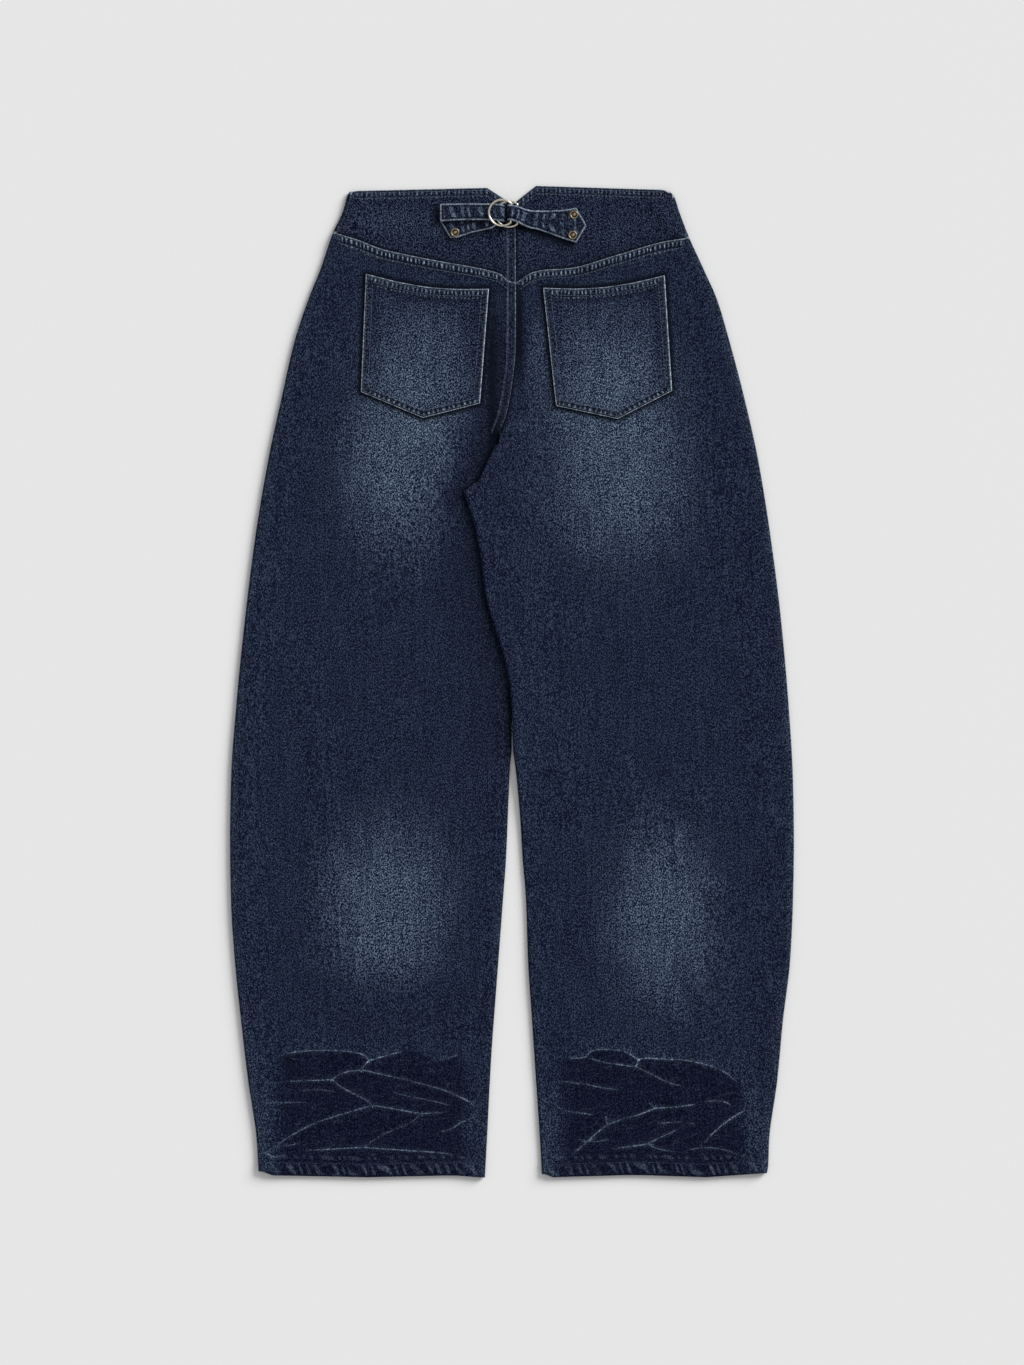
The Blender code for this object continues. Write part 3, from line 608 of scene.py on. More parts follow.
def nearest_crease(side, across, down):
    """Distance to the nearest crease, the same with a sign for its side, and how worn it is."""
    left, right, top, bottom = CREASE_FIELD
    fields = CREASE_FIELDS[side]
    rows, columns = fields[0].shape
    x = np.clip((across - left) / CREASE_STEP, 0, columns - 2)
    y = np.clip((down - top) / CREASE_STEP, 0, rows - 2)
    column, row = np.asarray(x, int), np.asarray(y, int)
    share_x, share_y = x - column, y - row
    found = []
    for field in fields:
        upper = field[row, column] * (1 - share_x) + field[row, column + 1] * share_x
        lower = field[row + 1, column] * (1 - share_x) + field[row + 1, column + 1] * share_x
        found.append(upper * (1 - share_y) + lower * share_y)
    return found


CREASE_FIELDS = {side: crease_fields(side) for side in SIDES}


def band(distance, width, lift):
    """A raised band with a rounded edge at 0 and a soft far edge, and a groove along each side."""
    body = ease(distance, -0.4, 1.0) * (1 - ease(distance, width, width + 2.5))
    grooves = bump(distance - 2.2, 0.9) + bump(distance - width + 1.2, 0.9)
    return lift * body - 0.25 * grooves * (distance > 0)


def crease_height(side, across, down):
    """Height of the ridges of the worn creases over the cloth of the calf."""
    near, _, worn = nearest_crease(side, across, down)
    return CREASE_HEIGHT * worn * np.exp(-((near / CREASE_WIDTH) ** CREASE_POWER))


def fine_relief(side, across, down):
    """Relief of the upper cloth that is finer than the solids."""
    calf = ease(down, 880, 930) * (1 - ease(down, 1010, HEM_START))
    flat = 1 - bump(abs(across - outer_edge(side, down)), 9) * 0.8
    total = crease_height(side, across, down) + CALF_WAVES * calf * swell(across, down, 2, 34) * flat
    total = total + LEG_WAVES * swell(across, down, 5, 95) * flat
    below = down - yoke_seam(side, across)
    total = total + band(below - GAP, 10.5, 0.45) * (below > 0)
    hem = straight(HEM_EDGE, across) - down
    roping = 0.14 * np.sin((across + 0.3 * down) * 0.62 + 1.9 * np.sin(across * 0.13)) * ease(hem, 0, 3)
    total = total + (roping - 0.3 * bump(hem - HEM_DEPTH + 1.5, 1.2)) * (1 - ease(hem, 12, 15))
    if side == "left":
        beside = inner_edge(side, down) - across
        total = total + band(beside - GAP, 8.5, 0.4) * (down < FOLD_FULL) * ease(down, 62, 74)
    return total


def surface(side, across, down):
    """Height of the outer surface of the upper cloth with its fine relief."""
    return top_height(side, across, down) + fine_relief(side, across, down)


def under_surface(side, across, down):
    """Height of the outer surface of the lower cloth: its hollows rise off the floor."""
    crease = crease_height(side, across, down)
    lining = front_pocket_seam(side, across, down)[1] < 0
    hollow = 0.35 + 0.2 * swell(across, down, 8, 60) - crease + POCKET_HOLLOW * lining
    return bottom_height(side, across, down) + np.clip(hollow, 0, 0.95)


# Cinch straps: each station's place across, its upper and lower edge, and its middle height
Station = namedtuple("Station", "across upper lower height")
STRAP_LEFT = [
    Station(-75, 36.3, 38.3, 4.4),
    Station(-64.6, 18.8, 55, 4.4),
    Station(-57.8, 19.4, 54.6, 4.4),
    Station(-48.3, 21, 51.5, 4.4),
    Station(-42, 22.6, 49.4, 4.4),
    Station(-32.6, 24.2, 47.3, 4.4),
    Station(-22, 24.7, 45.2, 4.4),
    Station(-14.7, 23.6, 41, 4.6),
    Station(-10.5, 22, 38.6, 4.7),
]
STRAP_LEFT_BACK = [
    Station(-10.5, 20, 37.3, 8.9),
    Station(-16.8, 19.4, 36.8, 8.95),
    Station(-20.5, 19.2, 36.6, 8.35),
    Station(-24.2, 19.1, 36.5, 8.2),
    Station(-35, 19, 36.3, 7.0),
    Station(-47, 18.9, 36.3, 7.1),
    Station(-62, 19.1, 36.8, 7.6),
    Station(-75.3, 19.3, 37.8, 7.2),
]
STRAP_RIGHT_UNDER = [
    Station(11.5, 25, 42.5, 5.2),
    Station(5.6, 21.8, 38.6, 5.2),
    Station(-1.2, 20.6, 37, 5.2),
]
STRAP_RIGHT = [
    Station(-1.2, 20.4, 36.4, 11.5),
    Station(5.6, 21.6, 38.6, 10.3),
    Station(14.2, 24.8, 43, 8.0),
    Station(20, 25.9, 44.9, 6.0),
    Station(27.3, 26.2, 46.2, 4.9),
    Station(41, 26.2, 51, 4.5),
    Station(56.7, 25.2, 56.7, 4.6),
    Station(67.5, 23, 59.8, 4.8),
    Station(77.7, 41, 42.5, 4.8),
]
STRAP_STEP = 0.9
STRAP_COLUMNS = 25
STRAP_PUCKERS = 5.5
TURN_STEPS = 5
FOLDED_HEIGHT = 6.0
FOLDED_EDGE = 38.0


# Grids


def refine(marks, counts):
    """Values between marks, each stretch cut into its count of steps, and each mark's index."""
    values = [marks[0]]
    at = [0]
    for first, second, count in zip(marks, marks[1:], counts):
        values += [first + (second - first) * step / count for step in range(1, count + 1)]
        at.append(len(values) - 1)
    return np.array(values, float), np.array(at)


NOSE_FINE, NOSE_AT = refine((90,) + NOSE_ANGLES + (-90,), [2] * (len(NOSE_ANGLES) + 1))


def fine_rows(scale=1.0):
    """Fine rows of a panel, with the index of each of the solid's rows."""
    counts = []
    for first, second in zip(PANEL_ROWS, PANEL_ROWS[1:]):
        down = LEVEL + (second - 1) * ROW_SCALE
        size = (second - first) * (100 if second <= 1 else ROW_SCALE)
        step = CALF_ROW_STEP if down > CALF_START + 10 else ROW_STEP
        counts.append(max(1, math.ceil(size / step / scale)))
    return refine(PANEL_ROWS, counts)


def row_down(rows, across, seam):
    """Distance down of grid rows at places across, from the seam to the hem."""
    start = seam(across)
    upper = start + (LEVEL - start) * rows
    lower = LEVEL + (rows - 1) * ROW_SCALE
    end = straight(HEM_EDGE, across)
    hem = HEM_START + (end - HEM_START) * (lower - HEM_START) / HEM_DEPTH
    return np.where(rows < 1, upper, np.where(lower > HEM_START, hem, lower))


def settle(place, down_at, down, turns=6):
    """Places across and down of one column's rows, which depend on each other."""
    for _ in range(turns):
        down = down_at(place(down))
    return place(down), down


def panel_column(place, rows, seam):
    """Places of one column of a leg panel, from the seam above it to the hem."""
    level = np.where(rows < 1, LEVEL, LEVEL + (rows - 1) * ROW_SCALE)
    return settle(place, lambda across: row_down(rows, across, seam), level, PANEL_TURNS)


def step_counts(marks, length, step, least=2):
    """How many steps of about the given size each stretch between marks takes."""
    return [max(least, math.ceil((last - first) * length / step)) for first, last in zip(marks, marks[1:])]


def blend(first, last, share):
    """A function for places at a share of the way between the places of two functions."""

    def place(down):
        start = first(down)
        return start + (last(down) - start) * share

    return place


def between_places(places, spots):
    """Functions for columns that lie between the given columns' functions."""
    found = []
    for spot in spots:
        index = min(int(spot), len(places) - 2)
        found.append(blend(places[index], places[index + 1], spot - index))
    return found


def at_nose(side):
    """A function for the places where the upper cloth begins to bend round the outer edge."""
    return lambda down: outer_edge(side, down) + SIDES[side] * NOSE_DEPTH


def beside_seam(side, shift):
    """A function for the places beside the side seam, farther in where the shift is above 0."""
    return lambda down: outer_edge(side, down) + SIDES[side] * (tuck(side, down) + shift)


def nose(side, edge, down, angles, low, inside=False):
    """Points of the cloth where it bends round an edge, on its outer or its inner face."""
    inward = SIDES[side] if edge == "outer" else -SIDES[side]
    tip = outer_edge(side, down) if edge == "outer" else inner_edge(side, down)
    centre = tip + inward * NOSE_DEPTH
    top = (top_height if inside else surface)(side, centre, down)
    bottom = low(side, centre, down)
    rise = (top - bottom) / 2
    thick = np.minimum(wall(down), rise - NOSE_HOLLOW) if inside else 0.0
    columns = []
    for angle in np.radians(angles):
        across = centre - inward * (NOSE_DEPTH - thick) * math.cos(angle)
        columns.append((across, down, (top + bottom) / 2 + (rise - thick) * math.sin(angle)))
    return columns


def upper_inside(side, across, down):
    """Height of the inner face of the upper cloth."""
    return top_height(side, across, down) - wall(down)


def lower_inside(side, across, down):
    """Height of the inner face of the lower cloth."""
    return bottom_height(side, across, down) + wall(down)


def inner_columns(side, columns, spots, row_at, height):
    """Coarse columns of a wall's inner face, at the same places as the outer ones."""
    found = []
    for spot in spots:
        across, down = columns[spot][0][row_at], columns[spot][1][row_at]
        found.append((across, down, height(side, across, down)))
    return found


def metres(across, down, height):
    """Places in millimetres as an array of points in metres, +Y towards the waist."""
    return np.stack([across, LENGTH / 2 - down, height], axis=-1) * 0.001


def grid_of(columns):
    """Three arrays across, down and height, one row for each grid row, from a list of columns."""
    return [np.stack([column[part] for column in columns], axis=1) for part in range(3)]


def add_object(name, points, faces, materials, sharp=180):
    """A smooth object of the named materials, with edges past the sharp angle left sharp."""
    mesh = bpy.data.meshes.new(name)
    mesh.from_pydata(points, [], faces)
    for material in materials:
        mesh.materials.append(MATERIALS[material])
    mesh.shade_smooth()
    if sharp < 180:
        mesh.set_sharp_from_angle(angle=math.radians(sharp))
    obj = bpy.data.objects.new(name, mesh)
    bpy.context.scene.collection.objects.link(obj)
    return obj


def add_marks(mesh, marks):
    """Keeps named arrays, three values a point, with the mesh for its material."""
    for key, values in marks.items():
        attribute = mesh.attributes.new(key, "FLOAT_VECTOR", "POINT")
        attribute.data.foreach_set("vector", values.astype(np.float32).ravel())


def ring_faces(rings, sides, closed=False):
    """Quads from each ring of points to the next, and from the last to the first when closed."""
    faces = []
    for ring in range(rings if closed else rings - 1):
        low, high = ring * sides, (ring + 1) % rings * sides
        for step in range(sides):
            after = (step + 1) % sides
            quad = [low + step, low + after, high + after, high + step]
            faces.append([quad[0]] + quad[:0:-1] if closed else quad)
    return faces


def shell(name, side, outer, inner, row_at, column_at, marks, left_out=None, cloth="denim"):
    """A closed wall from a fine outer grid and a coarse inner one, joined by strips at its edges.

    marks holds named arrays over the outer grid, three values a point, kept with the mesh.
    left_out is the part of the solid's grid that has no cloth.
    """
    kept = np.ones((len(row_at) - 1, len(column_at) - 1), bool)
    if left_out is not None:
        kept[left_out] = False
    number = np.arange(outer[0].size).reshape(outer[0].shape)
    fine_kept = np.repeat(np.repeat(kept, np.diff(row_at), 0), np.diff(column_at), 1)
    quads = np.stack([number[:-1, :-1], number[1:, :-1], number[1:, 1:], number[:-1, 1:]], axis=-1)
    faces = quads[fine_kept].tolist()
    outer_count = len(faces)
    inner_number = np.arange(inner[0].size).reshape(inner[0].shape) + outer[0].size

    def is_kept(row, column):
        inside = 0 <= row < kept.shape[0] and 0 <= column < kept.shape[1]
        return inside and kept[row, column]

    strips = []
    for row, column in np.argwhere(kept):
        corners = [(row, column), (row + 1, column), (row + 1, column + 1), (row, column + 1)]
        faces.append([int(inner_number[corner]) for corner in reversed(corners)])
        beside = [(row, column - 1), (row + 1, column), (row, column + 1), (row - 1, column)]
        for turn_number, neighbour in enumerate(beside):
            if is_kept(*neighbour):
                continue
            first, second = corners[turn_number], corners[(turn_number + 1) % 4]
            down = row_at[first[0]], row_at[second[0]]
            across = column_at[first[1]], column_at[second[1]]
            if down[0] == down[1]:
                step = 1 if across[1] > across[0] else -1
                line = number[down[0], np.arange(across[0], across[1] + step, step)]
            else:
                step = 1 if down[1] > down[0] else -1
                line = number[np.arange(down[0], down[1] + step, step), across[0]]
            edge = [int(inner_number[first]), int(inner_number[second])]
            strips.append(edge + line[::-1].tolist())
    faces += strips
    points = np.concatenate([metres(*outer).reshape(-1, 3), metres(*inner).reshape(-1, 3)])
    used = np.unique(np.concatenate([np.ravel(face) for face in faces]))
    place = np.full(len(points), -1)
    place[used] = np.arange(len(used))
    turned_over = -1 if side == "right" else 1
    faces = [place[face][::turned_over].tolist() for face in faces]
    obj = add_object(name, points[used], faces, (cloth, "denim_inside"), CLOTH_SHARP)
    all_marks = {}
    for key, values in marks.items():
        flat = np.stack([np.ravel(np.broadcast_to(value, outer[0].shape)) for value in values], axis=-1)
        all_marks[key] = np.concatenate([flat, np.zeros((inner[0].size, 3))])[used]
    add_marks(obj.data, all_marks)
    inside = np.zeros(len(faces), np.int32)
    inside[outer_count : outer_count + int(kept.sum())] = 1
    obj.data.polygons.foreach_set("material_index", inside)
    obj.data.validate()
    return obj


# Marks for the cloth's material: how a fade ends, how worn the legs' edges are, and painted shade at the fold
FADE_POWER = 1.45
FADE_RATE = 0.75
OUTER_WEAR = 0.2
OUTER_WEAR_WIDTH = 7
OUTER_WEAR_START = (40, 90)
INNER_WEAR = 0.12
INNER_WEAR_WIDTH = 6
INNER_WEAR_START = (560, 640)
FOLD_SHADE = 0.62
FOLD_SHADE_LOW = 0.32
FOLD_SHADE_WIDTH = 34
FOLD_LINE = 0.45
FOLD_LINE_WIDTH = 6


def tone(side, across, down):
    """How much fade the cloth shows at each place, below 0 where it is darker; the dark stripes beside the
    centre seam are painted shade.
    """
    total = 0.0
    for fade in FADES:
        if fade.side == side:
            off = ((across - fade.across) / fade.width) ** 2 + ((down - fade.down) / fade.length) ** 2
            total = total + fade.worn * np.exp(-(off ** FADE_POWER) * FADE_RATE)
    edge = OUTER_WEAR * bump(abs(across - outer_edge(side, down)), OUTER_WEAR_WIDTH)
    inner = INNER_WEAR * bump(abs(across - inner_edge(side, down)), INNER_WEAR_WIDTH)
    return total + (edge + inner * ease(down, *INNER_WEAR_START)) * ease(down, *OUTER_WEAR_START)


def calf_dark(side, across, down):
    """1 in the darker creased cloth of the calves, 0 outside it."""
    table = CALF_TOP_LEFT if side == "left" else CALF_TOP_RIGHT
    below = down - straight(table, across)
    first, last = table[0][0], table[-1][0]
    inside = ease(across, first - 6, first + CALF_FADE) * (1 - ease(across, last - CALF_FADE, last + 6))
    return ease(below, -1.5, 5.0) * inside


def choose_seam(seams):
    """Of several seams, the nearest one at each point: its along, distance, bars and line.

    The distance is below 0 beside the edge of a piece that lies over this one, where the material paints a
    shadow.
    """
    best = [np.array(part, float) for part in np.broadcast_arrays(*seams[0])]
    for seam in seams[1:]:
        parts = np.broadcast_arrays(*seam)
        closer = abs(parts[1]) < abs(best[1])
        best = [np.where(closer, new, old) for new, old in zip(parts, best)]
    return best


def cloth_marks(side, across, down, seams, extra=0.0, lower=False):
    """The marks of a stretch of cloth: seams, tone and creases."""
    along, off, bars, line = choose_seam(seams)
    near, signed, worn = nearest_crease(side, across, down)
    # Below 0 the tone and the extra marks hold painted shade and shadow as well as darker cloth
    fade_and_shade = tone(side, across, down) + extra
    if lower:
        fade_and_shade = fade_and_shade * 0.8
    return {
        "seam": (along, off, bars),
        "tone": (fade_and_shade, line, near),
        "crease": (worn, calf_dark(side, across, down), signed),
    }


SEAM_SLOPE = 0.97
CENTRE_ROW = 8.6


def hem_seam(across, down):
    """The turned hem's uneven puckers."""
    hem = straight(HEM_EDGE, across) - down
    along = across * 0.4 + hem * 0.22 + 1.7 * np.sin(across * 0.17 + 1.3 * np.sin(across * 0.041))
    return along, np.maximum(hem, 0) * 0.42 + 1.5, 0.2, 0.25


def panel_seams(side, across, down):
    """Seams on a back panel: the yoke, the hem, the side seam and the centre."""
    seams = [(across, (down - yoke_seam(side, across)) * SEAM_SLOPE, 1.0, 0.6)]
    seams.append(hem_seam(across, down))
    beside = abs(across - outer_edge(side, down)) - tuck(side, down)
    dots = -0.7 * ease(down, 340, 400) * (1 - ease(down, 700, 760)) if side == "left" else -0.2
    seams.append((down * 0.22, np.maximum(beside, 0) + 0.6, dots, 0.05))
    inside = abs(across - inner_edge(side, down))
    if side == "left":
        pale = 0.36 - 0.18 * ease(down, 120, 190)
        seams.append((down, np.where(down < FOLD_FULL, inside, FAR), 0.0, pale))
        seams.append((down, np.where(down < FOLD_FULL, abs(inside - CENTRE_ROW), FAR), 0.0, pale * 0.6))
    else:
        # Below 0: a painted shadow beside the left panel's edge that laps over this one
        seams.append((down, np.where(down < FOLD_FULL, -0.4 - inside, FAR), 0.0, 0.0))
    seams.append((down * 0.4, np.where(down > FOLD_FULL, inside + 1.2, FAR), 0.0, 0.3))
    # Below 0 round each pocket: a painted shadow beside the pocket's edge
    for spec in POCKETS:
        if spec.side == side:
            along, off = pocket_border(spec, across, down)[:2]
            seams.append((along, -0.3 - off * 0.6, 0.0, 0.0))
    return seams


def fold_shade(side, across, down):
    """Painted shade on the left panel beside the seat fold that lies over it: a wide soft band and a darker
    line at the fold.
    """
    if side == "right":
        return 0.0
    off = np.abs(inner_edge("right", down) - across)
    reach = ease(down, FOLD_START - 30, FOLD_FULL + 30) * (1 - ease(down, FORK_END - 30, FORK_END + 60))
    wide = FOLD_SHADE + (FOLD_SHADE_LOW - FOLD_SHADE) * ease(down, CROTCH - 10, CROTCH + 50)
    line = FOLD_LINE * np.exp(-((off / FOLD_LINE_WIDTH) ** 1.3))
    return -(wide * bump(off, FOLD_SHADE_WIDTH) + line) * reach


# Cloth pieces


def back_panel(side):
    """Back of one leg: upper cloth, then round the inner edge and a little way under."""
    inward = SIDES[side]
    first_round = FIRST_TUBE_ROW if side == "left" else FIRST_FOLD_ROW
    rows, row_at = fine_rows()
    ends = np.where(np.arange(len(PANEL_ROWS)) >= first_round, NOSE_DEPTH, GAP / 2)
    end = np.interp(rows, PANEL_ROWS, ends)
    shares, column_at = refine(BACK_SHARES, step_counts(BACK_SHARES, PANEL_WIDTH, COLUMN_STEP))

    def seam(across):
        return yoke_seam(side, across) + GAP / 2

    def last(down):
        return inner_edge(side, down) - inward * end

    columns = []
    for share in shares:
        across, down = panel_column(blend(beside_seam(side, GAP / 2), last, share), rows, seam)
        columns.append((across, down, surface(side, across, down)))
    down = columns[-1][1]
    columns += nose(side, "inner", down, NOSE_FINE[1:], fold_bottom)
    reach = inner_edge(side, down) - inward * (INSEAM_TUCK - GAP / 2)
    columns.append((reach, down, fold_bottom(side, reach, down)))
    column_at = np.concatenate([column_at, column_at[-1] + NOSE_AT[1:], [len(columns) - 1]])

    inner = inner_columns(side, columns, column_at[: len(BACK_SHARES)], row_at, upper_inside)
    solid_down = down[row_at]
    inner += nose(side, "inner", solid_down, NOSE_ANGLES, fold_bottom, inside=True)
    for step in (NOSE_DEPTH, INSEAM_TUCK - GAP / 2):
        across = inner_edge(side, solid_down) - inward * step
        inner.append((across, solid_down, fold_bottom(side, across, solid_down) + wall(solid_down)))
    outer = grid_of(columns)
    across, down = outer[0], outer[1]
    marks = cloth_marks(side, across, down, panel_seams(side, across, down), fold_shade(side, across, down))
    left_out = np.s_[:first_round, len(BACK_SHARES) - 1 :]
    return shell("cloth_back_leg_" + side, side, outer, grid_of(inner), row_at, column_at, marks, left_out)


def front_places(side):
    """Functions that give each column of the front's lower cloth its place across."""
    inward = SIDES[side]
    steps = LEFT_STEPS if side == "left" else RIGHT_STEPS

    def centre(down):
        edge = inner_edge(side, np.maximum(down, CROTCH))
        if side == "left":
            return edge - INSEAM_TUCK - GAP / 2
        return np.maximum(GAP / 2, edge + INSEAM_TUCK + FORK_STEP)

    def fork(down):
        return inner_edge(side, np.maximum(down, CROTCH)) + INSEAM_TUCK + GAP / 2

    beside = [lambda down, step=step: centre(down) - inward * step for step in steps]
    places = [blend(at_nose(side), beside[0], share) for share in FRONT_SHARES] + beside[1:]
    if side == "left":
        return places + [lambda down: -GAP / 2 + 0 * down]
    return places + [blend(centre, fork, share) for share in FORK_SHARES]


# Openings of the front pockets and the stitching of the fly, mirrored for the right side
FRONT_POCKET = [(-116, 60), (-121, 92), (-133, 117), (-154, 135), (-184, 145), (-222, 149)]
FLY_STITCHES = [(-33, 78), (-33.5, 170), (-31, 196), (-24, 217), (-13, 232), (-2, 238)]
POCKET_HOLLOW = 0.45


def front_pocket_seam(side, across, down):
    """The nearest place of the front pocket's opening, its distance below 0 on the lining's side."""
    line = rounded_line([(place[0] * SIDES[side], place[1]) for place in FRONT_POCKET])
    seams = []
    begun = 0.0
    for first, second in zip(line, line[1:]):
        off, share = along_line(across, down, first, second)
        turn_side = (second[0] - first[0]) * (down - first[1]) - (second[1] - first[1]) * (across - first[0])
        size = math.dist(first, second)
        seams.append((begun + share * size, np.where(turn_side * SIDES[side] > 0, -off, off)))
        begun += size
    along, off = choose_seam(seams)
    beside = abs(outer_edge(side, down)) - abs(across)
    shown = ease(beside, 4, 9)
    # Below 0, on the lining's side, the material paints a shadow beside the opening's edge
    return along, np.where(beside < 5, FAR, off), 0.8 * shown, 0.6 * shown


def lower_counts(places):
    """How many fine columns lie between the solid's columns on the lower side."""
    spots = [float(place(LOWER_MIDDLE)) for place in places]
    return [max(1, math.ceil(abs(last - first) / LOWER_STEP)) for first, last in zip(spots, spots[1:])]


def wrapped(side, upper, places, column, low, row_at):
    """Grids of a front piece, from its upper columns round the outer edge and under.

    Gives the outer and the inner grid, and where the solid's columns are among the outer ones.
    """
    columns = []
    for place in upper:
        across, down = column(place)
        columns.append((across, down, surface(side, across, down)))
    down = columns[-1][1]
    columns += nose(side, "outer", down, NOSE_FINE[1:-1], bottom_height)
    spots, spot_at = refine(range(len(places)), lower_counts(places))
    for place in between_places(places, spots):
        across, fall = column(place)
        columns.append((across, fall, low(side, across, fall)))
    start = len(upper) - 1
    column_at = np.concatenate([[0], start + NOSE_AT[:-1], start + NOSE_AT[-1] + spot_at])
    inner = inner_columns(side, columns, (0, start), row_at, upper_inside)
    inner += nose(side, "outer", down[row_at], NOSE_ANGLES, bottom_height, inside=True)
    inner += inner_columns(side, columns, column_at[2 + len(NOSE_ANGLES) :], row_at, lower_inside)
    return grid_of(columns), grid_of(inner), column_at


def front_panel(side):
    """Front of one leg: from the side seam round the outer edge and under to the inseam."""
    rows, row_at = fine_rows(FRONT_COARSER)

    def seam(across):
        return band_seam(side, across) + GAP / 2

    def column(place):
        return panel_column(place, rows, seam)

    upper = between_places([beside_seam(side, -GAP / 2), at_nose(side)], (0, 0.5, 1))
    places = front_places(side)
    outer, inner, column_at = wrapped(side, upper, places, column, under_surface, row_at)
    left_out = np.s_[FIRST_TUBE_ROW - 1 :, -1]
    if side == "right":
        left_out = np.s_[:FIRST_TUBE_ROW, -len(FORK_SHARES) :]
    across, down = outer[0], outer[1]
    seams = [
        (across, (down - band_seam(side, across)) * SEAM_SLOPE, 0.85, 0.7),
        hem_seam(across, down),
        (down * 0.3, abs(across - outer_edge(side, down)) + 0.5, 0.05, 0.2),
        (down * 0.5, abs(across - np.where(down < CROTCH, 0, inner_edge(side, down))), 0.0, 0.25),
        front_pocket_seam(side, across, down),
    ]
    marks = cloth_marks(side, across, down, seams, lower=True)
    return shell("cloth_front_leg_" + side, side, outer, inner, row_at, column_at, marks, left_out)


def strap_shade(across, down):
    """Painted shadow of the straps on the yoke, below them and to the left of the left strap's free end."""
    left, right = (np.array(table, float) for table in (STRAP_LEFT[1:], STRAP_RIGHT))
    below_right = down - np.interp(across + 4, right[:, 0], right[:, 2])
    inside_right = ease(across, -4, 6) * (1 - ease(across, 70, 78))
    below_left = down - np.interp(across + 4, left[:, 0], left[:, 2])
    inside_left = ease(across, -76, -66) * (1 - ease(across, -14, -6))
    free_end = bump(across + 79, 5) * ease(down, 17, 22) * (1 - ease(down, 38, 44))
    shade = 0.95 * np.exp(-((np.maximum(below_right, 0) / 7.5) ** 2)) * inside_right * (below_right > -6)
    shade = shade + 0.6 * np.exp(-((np.maximum(below_left, 0) / 6) ** 1.8)) * inside_left * (below_left > -6)
    return -(shade + 0.6 * free_end)


YOKE_SHADE = 15.0
NOTCH_END = 40.0


def yoke(side):
    """Half of the shaped yoke, from the waist edge with its notch down to the yoke seam."""
    inward = SIDES[side]
    rows, row_at = refine(YOKE_ROWS, step_counts(YOKE_ROWS, YOKE_DEPTH, YOKE_STEP))
    shares, column_at = refine(BACK_SHARES, step_counts(BACK_SHARES, YOKE_WIDTH, YOKE_STEP))

    def down_at(across):
        start = straight(WAIST_EDGE, across)
        return start + (yoke_seam(side, across) - GAP / 2 - start) * rows

    def last(down):
        return inner_edge(side, down) - inward * GAP / 2

    columns = []
    for share in shares:
        place = blend(beside_seam(side, GAP / 2), last, share)
        across, down = settle(place, down_at, np.full(len(rows), YOKE_MIDDLE))
        top = down - straight(WAIST_EDGE, across)
        rolled = 0.25 * ease(top, 2, 9) - 0.2 * bump(top - 3, 1.2) - 0.7 * (1 - ease(top, -0.4, 1.2))
        columns.append((across, down, surface(side, across, down) + rolled - 0.25))
    outer = grid_of(columns)
    inner = grid_of(inner_columns(side, columns, column_at, row_at, upper_inside))
    across, down = outer[0], outer[1]
    top = down - straight(WAIST_EDGE, across)
    seams = [(across * 0.93, np.maximum(top, 0) * 1.05 + 0.4, 0.5, 0.4)]
    beside = abs(across - outer_edge(side, down)) - tuck(side, down)
    seams.append((down, np.maximum(beside, 0) + 0.5, 0.05, 0.25))
    # Below 0 above the yoke seam: a painted shadow beside the leg panel's edge
    seams.append((across, np.minimum(down - yoke_seam(side, across), 0) - 0.3, 0.0, 0.0))
    inside = np.where(down > NOTCH_END, inward * (inner_edge(side, down) - across), FAR)
    if side == "right":
        # Below 0: a painted shadow beside the left yoke's edge that laps over this one
        seams.append((down, -0.4 - inside, 0.0, 0.0))
    else:
        seams.append((down, inside, 0.0, 0.34))
        seams.append((down, abs(inside - CENTRE_ROW), 0.0, 0.18))
    above = yoke_seam(side, across) - down
    shade = 0.24 * bump(above, YOKE_SHADE) + 0.12 * bump(top, YOKE_SHADE)
    marks = cloth_marks(side, across, down, seams, extra=strap_shade(across, down) - shade)
    return shell("cloth_yoke_" + side, side, outer, inner, row_at, column_at, marks, cloth="denim_crisp")


CORNER_RISE = 3.4
CORNER_RISE_REACH = (5.5, 21.0)
CORNER_DROP = 9.0
CORNER_DROP_REACH = (-3.5, 5.5)


def waistband(side):
    """Front waistband: from the side seam round the edge and under to the centre front."""
    rows, row_at = refine(YOKE_ROWS, step_counts(YOKE_ROWS, BAND_DEPTH, YOKE_STEP, 1))

    def down_at(across):
        beside = abs(outer_edge(side, FRONT_WAIST_SIDE)) - abs(across)
        start = front_waist(side, across) - CORNER_RISE * (1 - ease(beside, *CORNER_RISE_REACH))
        start = start + CORNER_DROP * (1 - ease(beside, *CORNER_DROP_REACH))
        return start + (band_seam(side, across) - GAP / 2 - start) * rows

    def column(place):
        return settle(place, down_at, np.full(len(rows), BAND_MIDDLE))

    def at_side_seam(down):
        return outer_edge(side, down) + SIDES[side] * (tuck(side, FRONT_WAIST_SIDE) - GAP / 2)

    places = front_places(side)
    if side == "right":
        places = places[: -len(FORK_SHARES)]
    upper = (at_side_seam, at_nose(side))
    outer, inner, column_at = wrapped(side, upper, places, column, bottom_height, row_at)
    across, down = outer[0], outer[1]
    seams = [
        (across, np.maximum(down - front_waist(side, across), 0), 0.8, 0.7),
        (across, np.maximum(band_seam(side, across) - down, 0), 0.5, 0.7),
    ]
    marks = cloth_marks(side, across, down, seams, lower=True)
    return shell("cloth_waistband_" + side, side, outer, inner, row_at, column_at, marks)


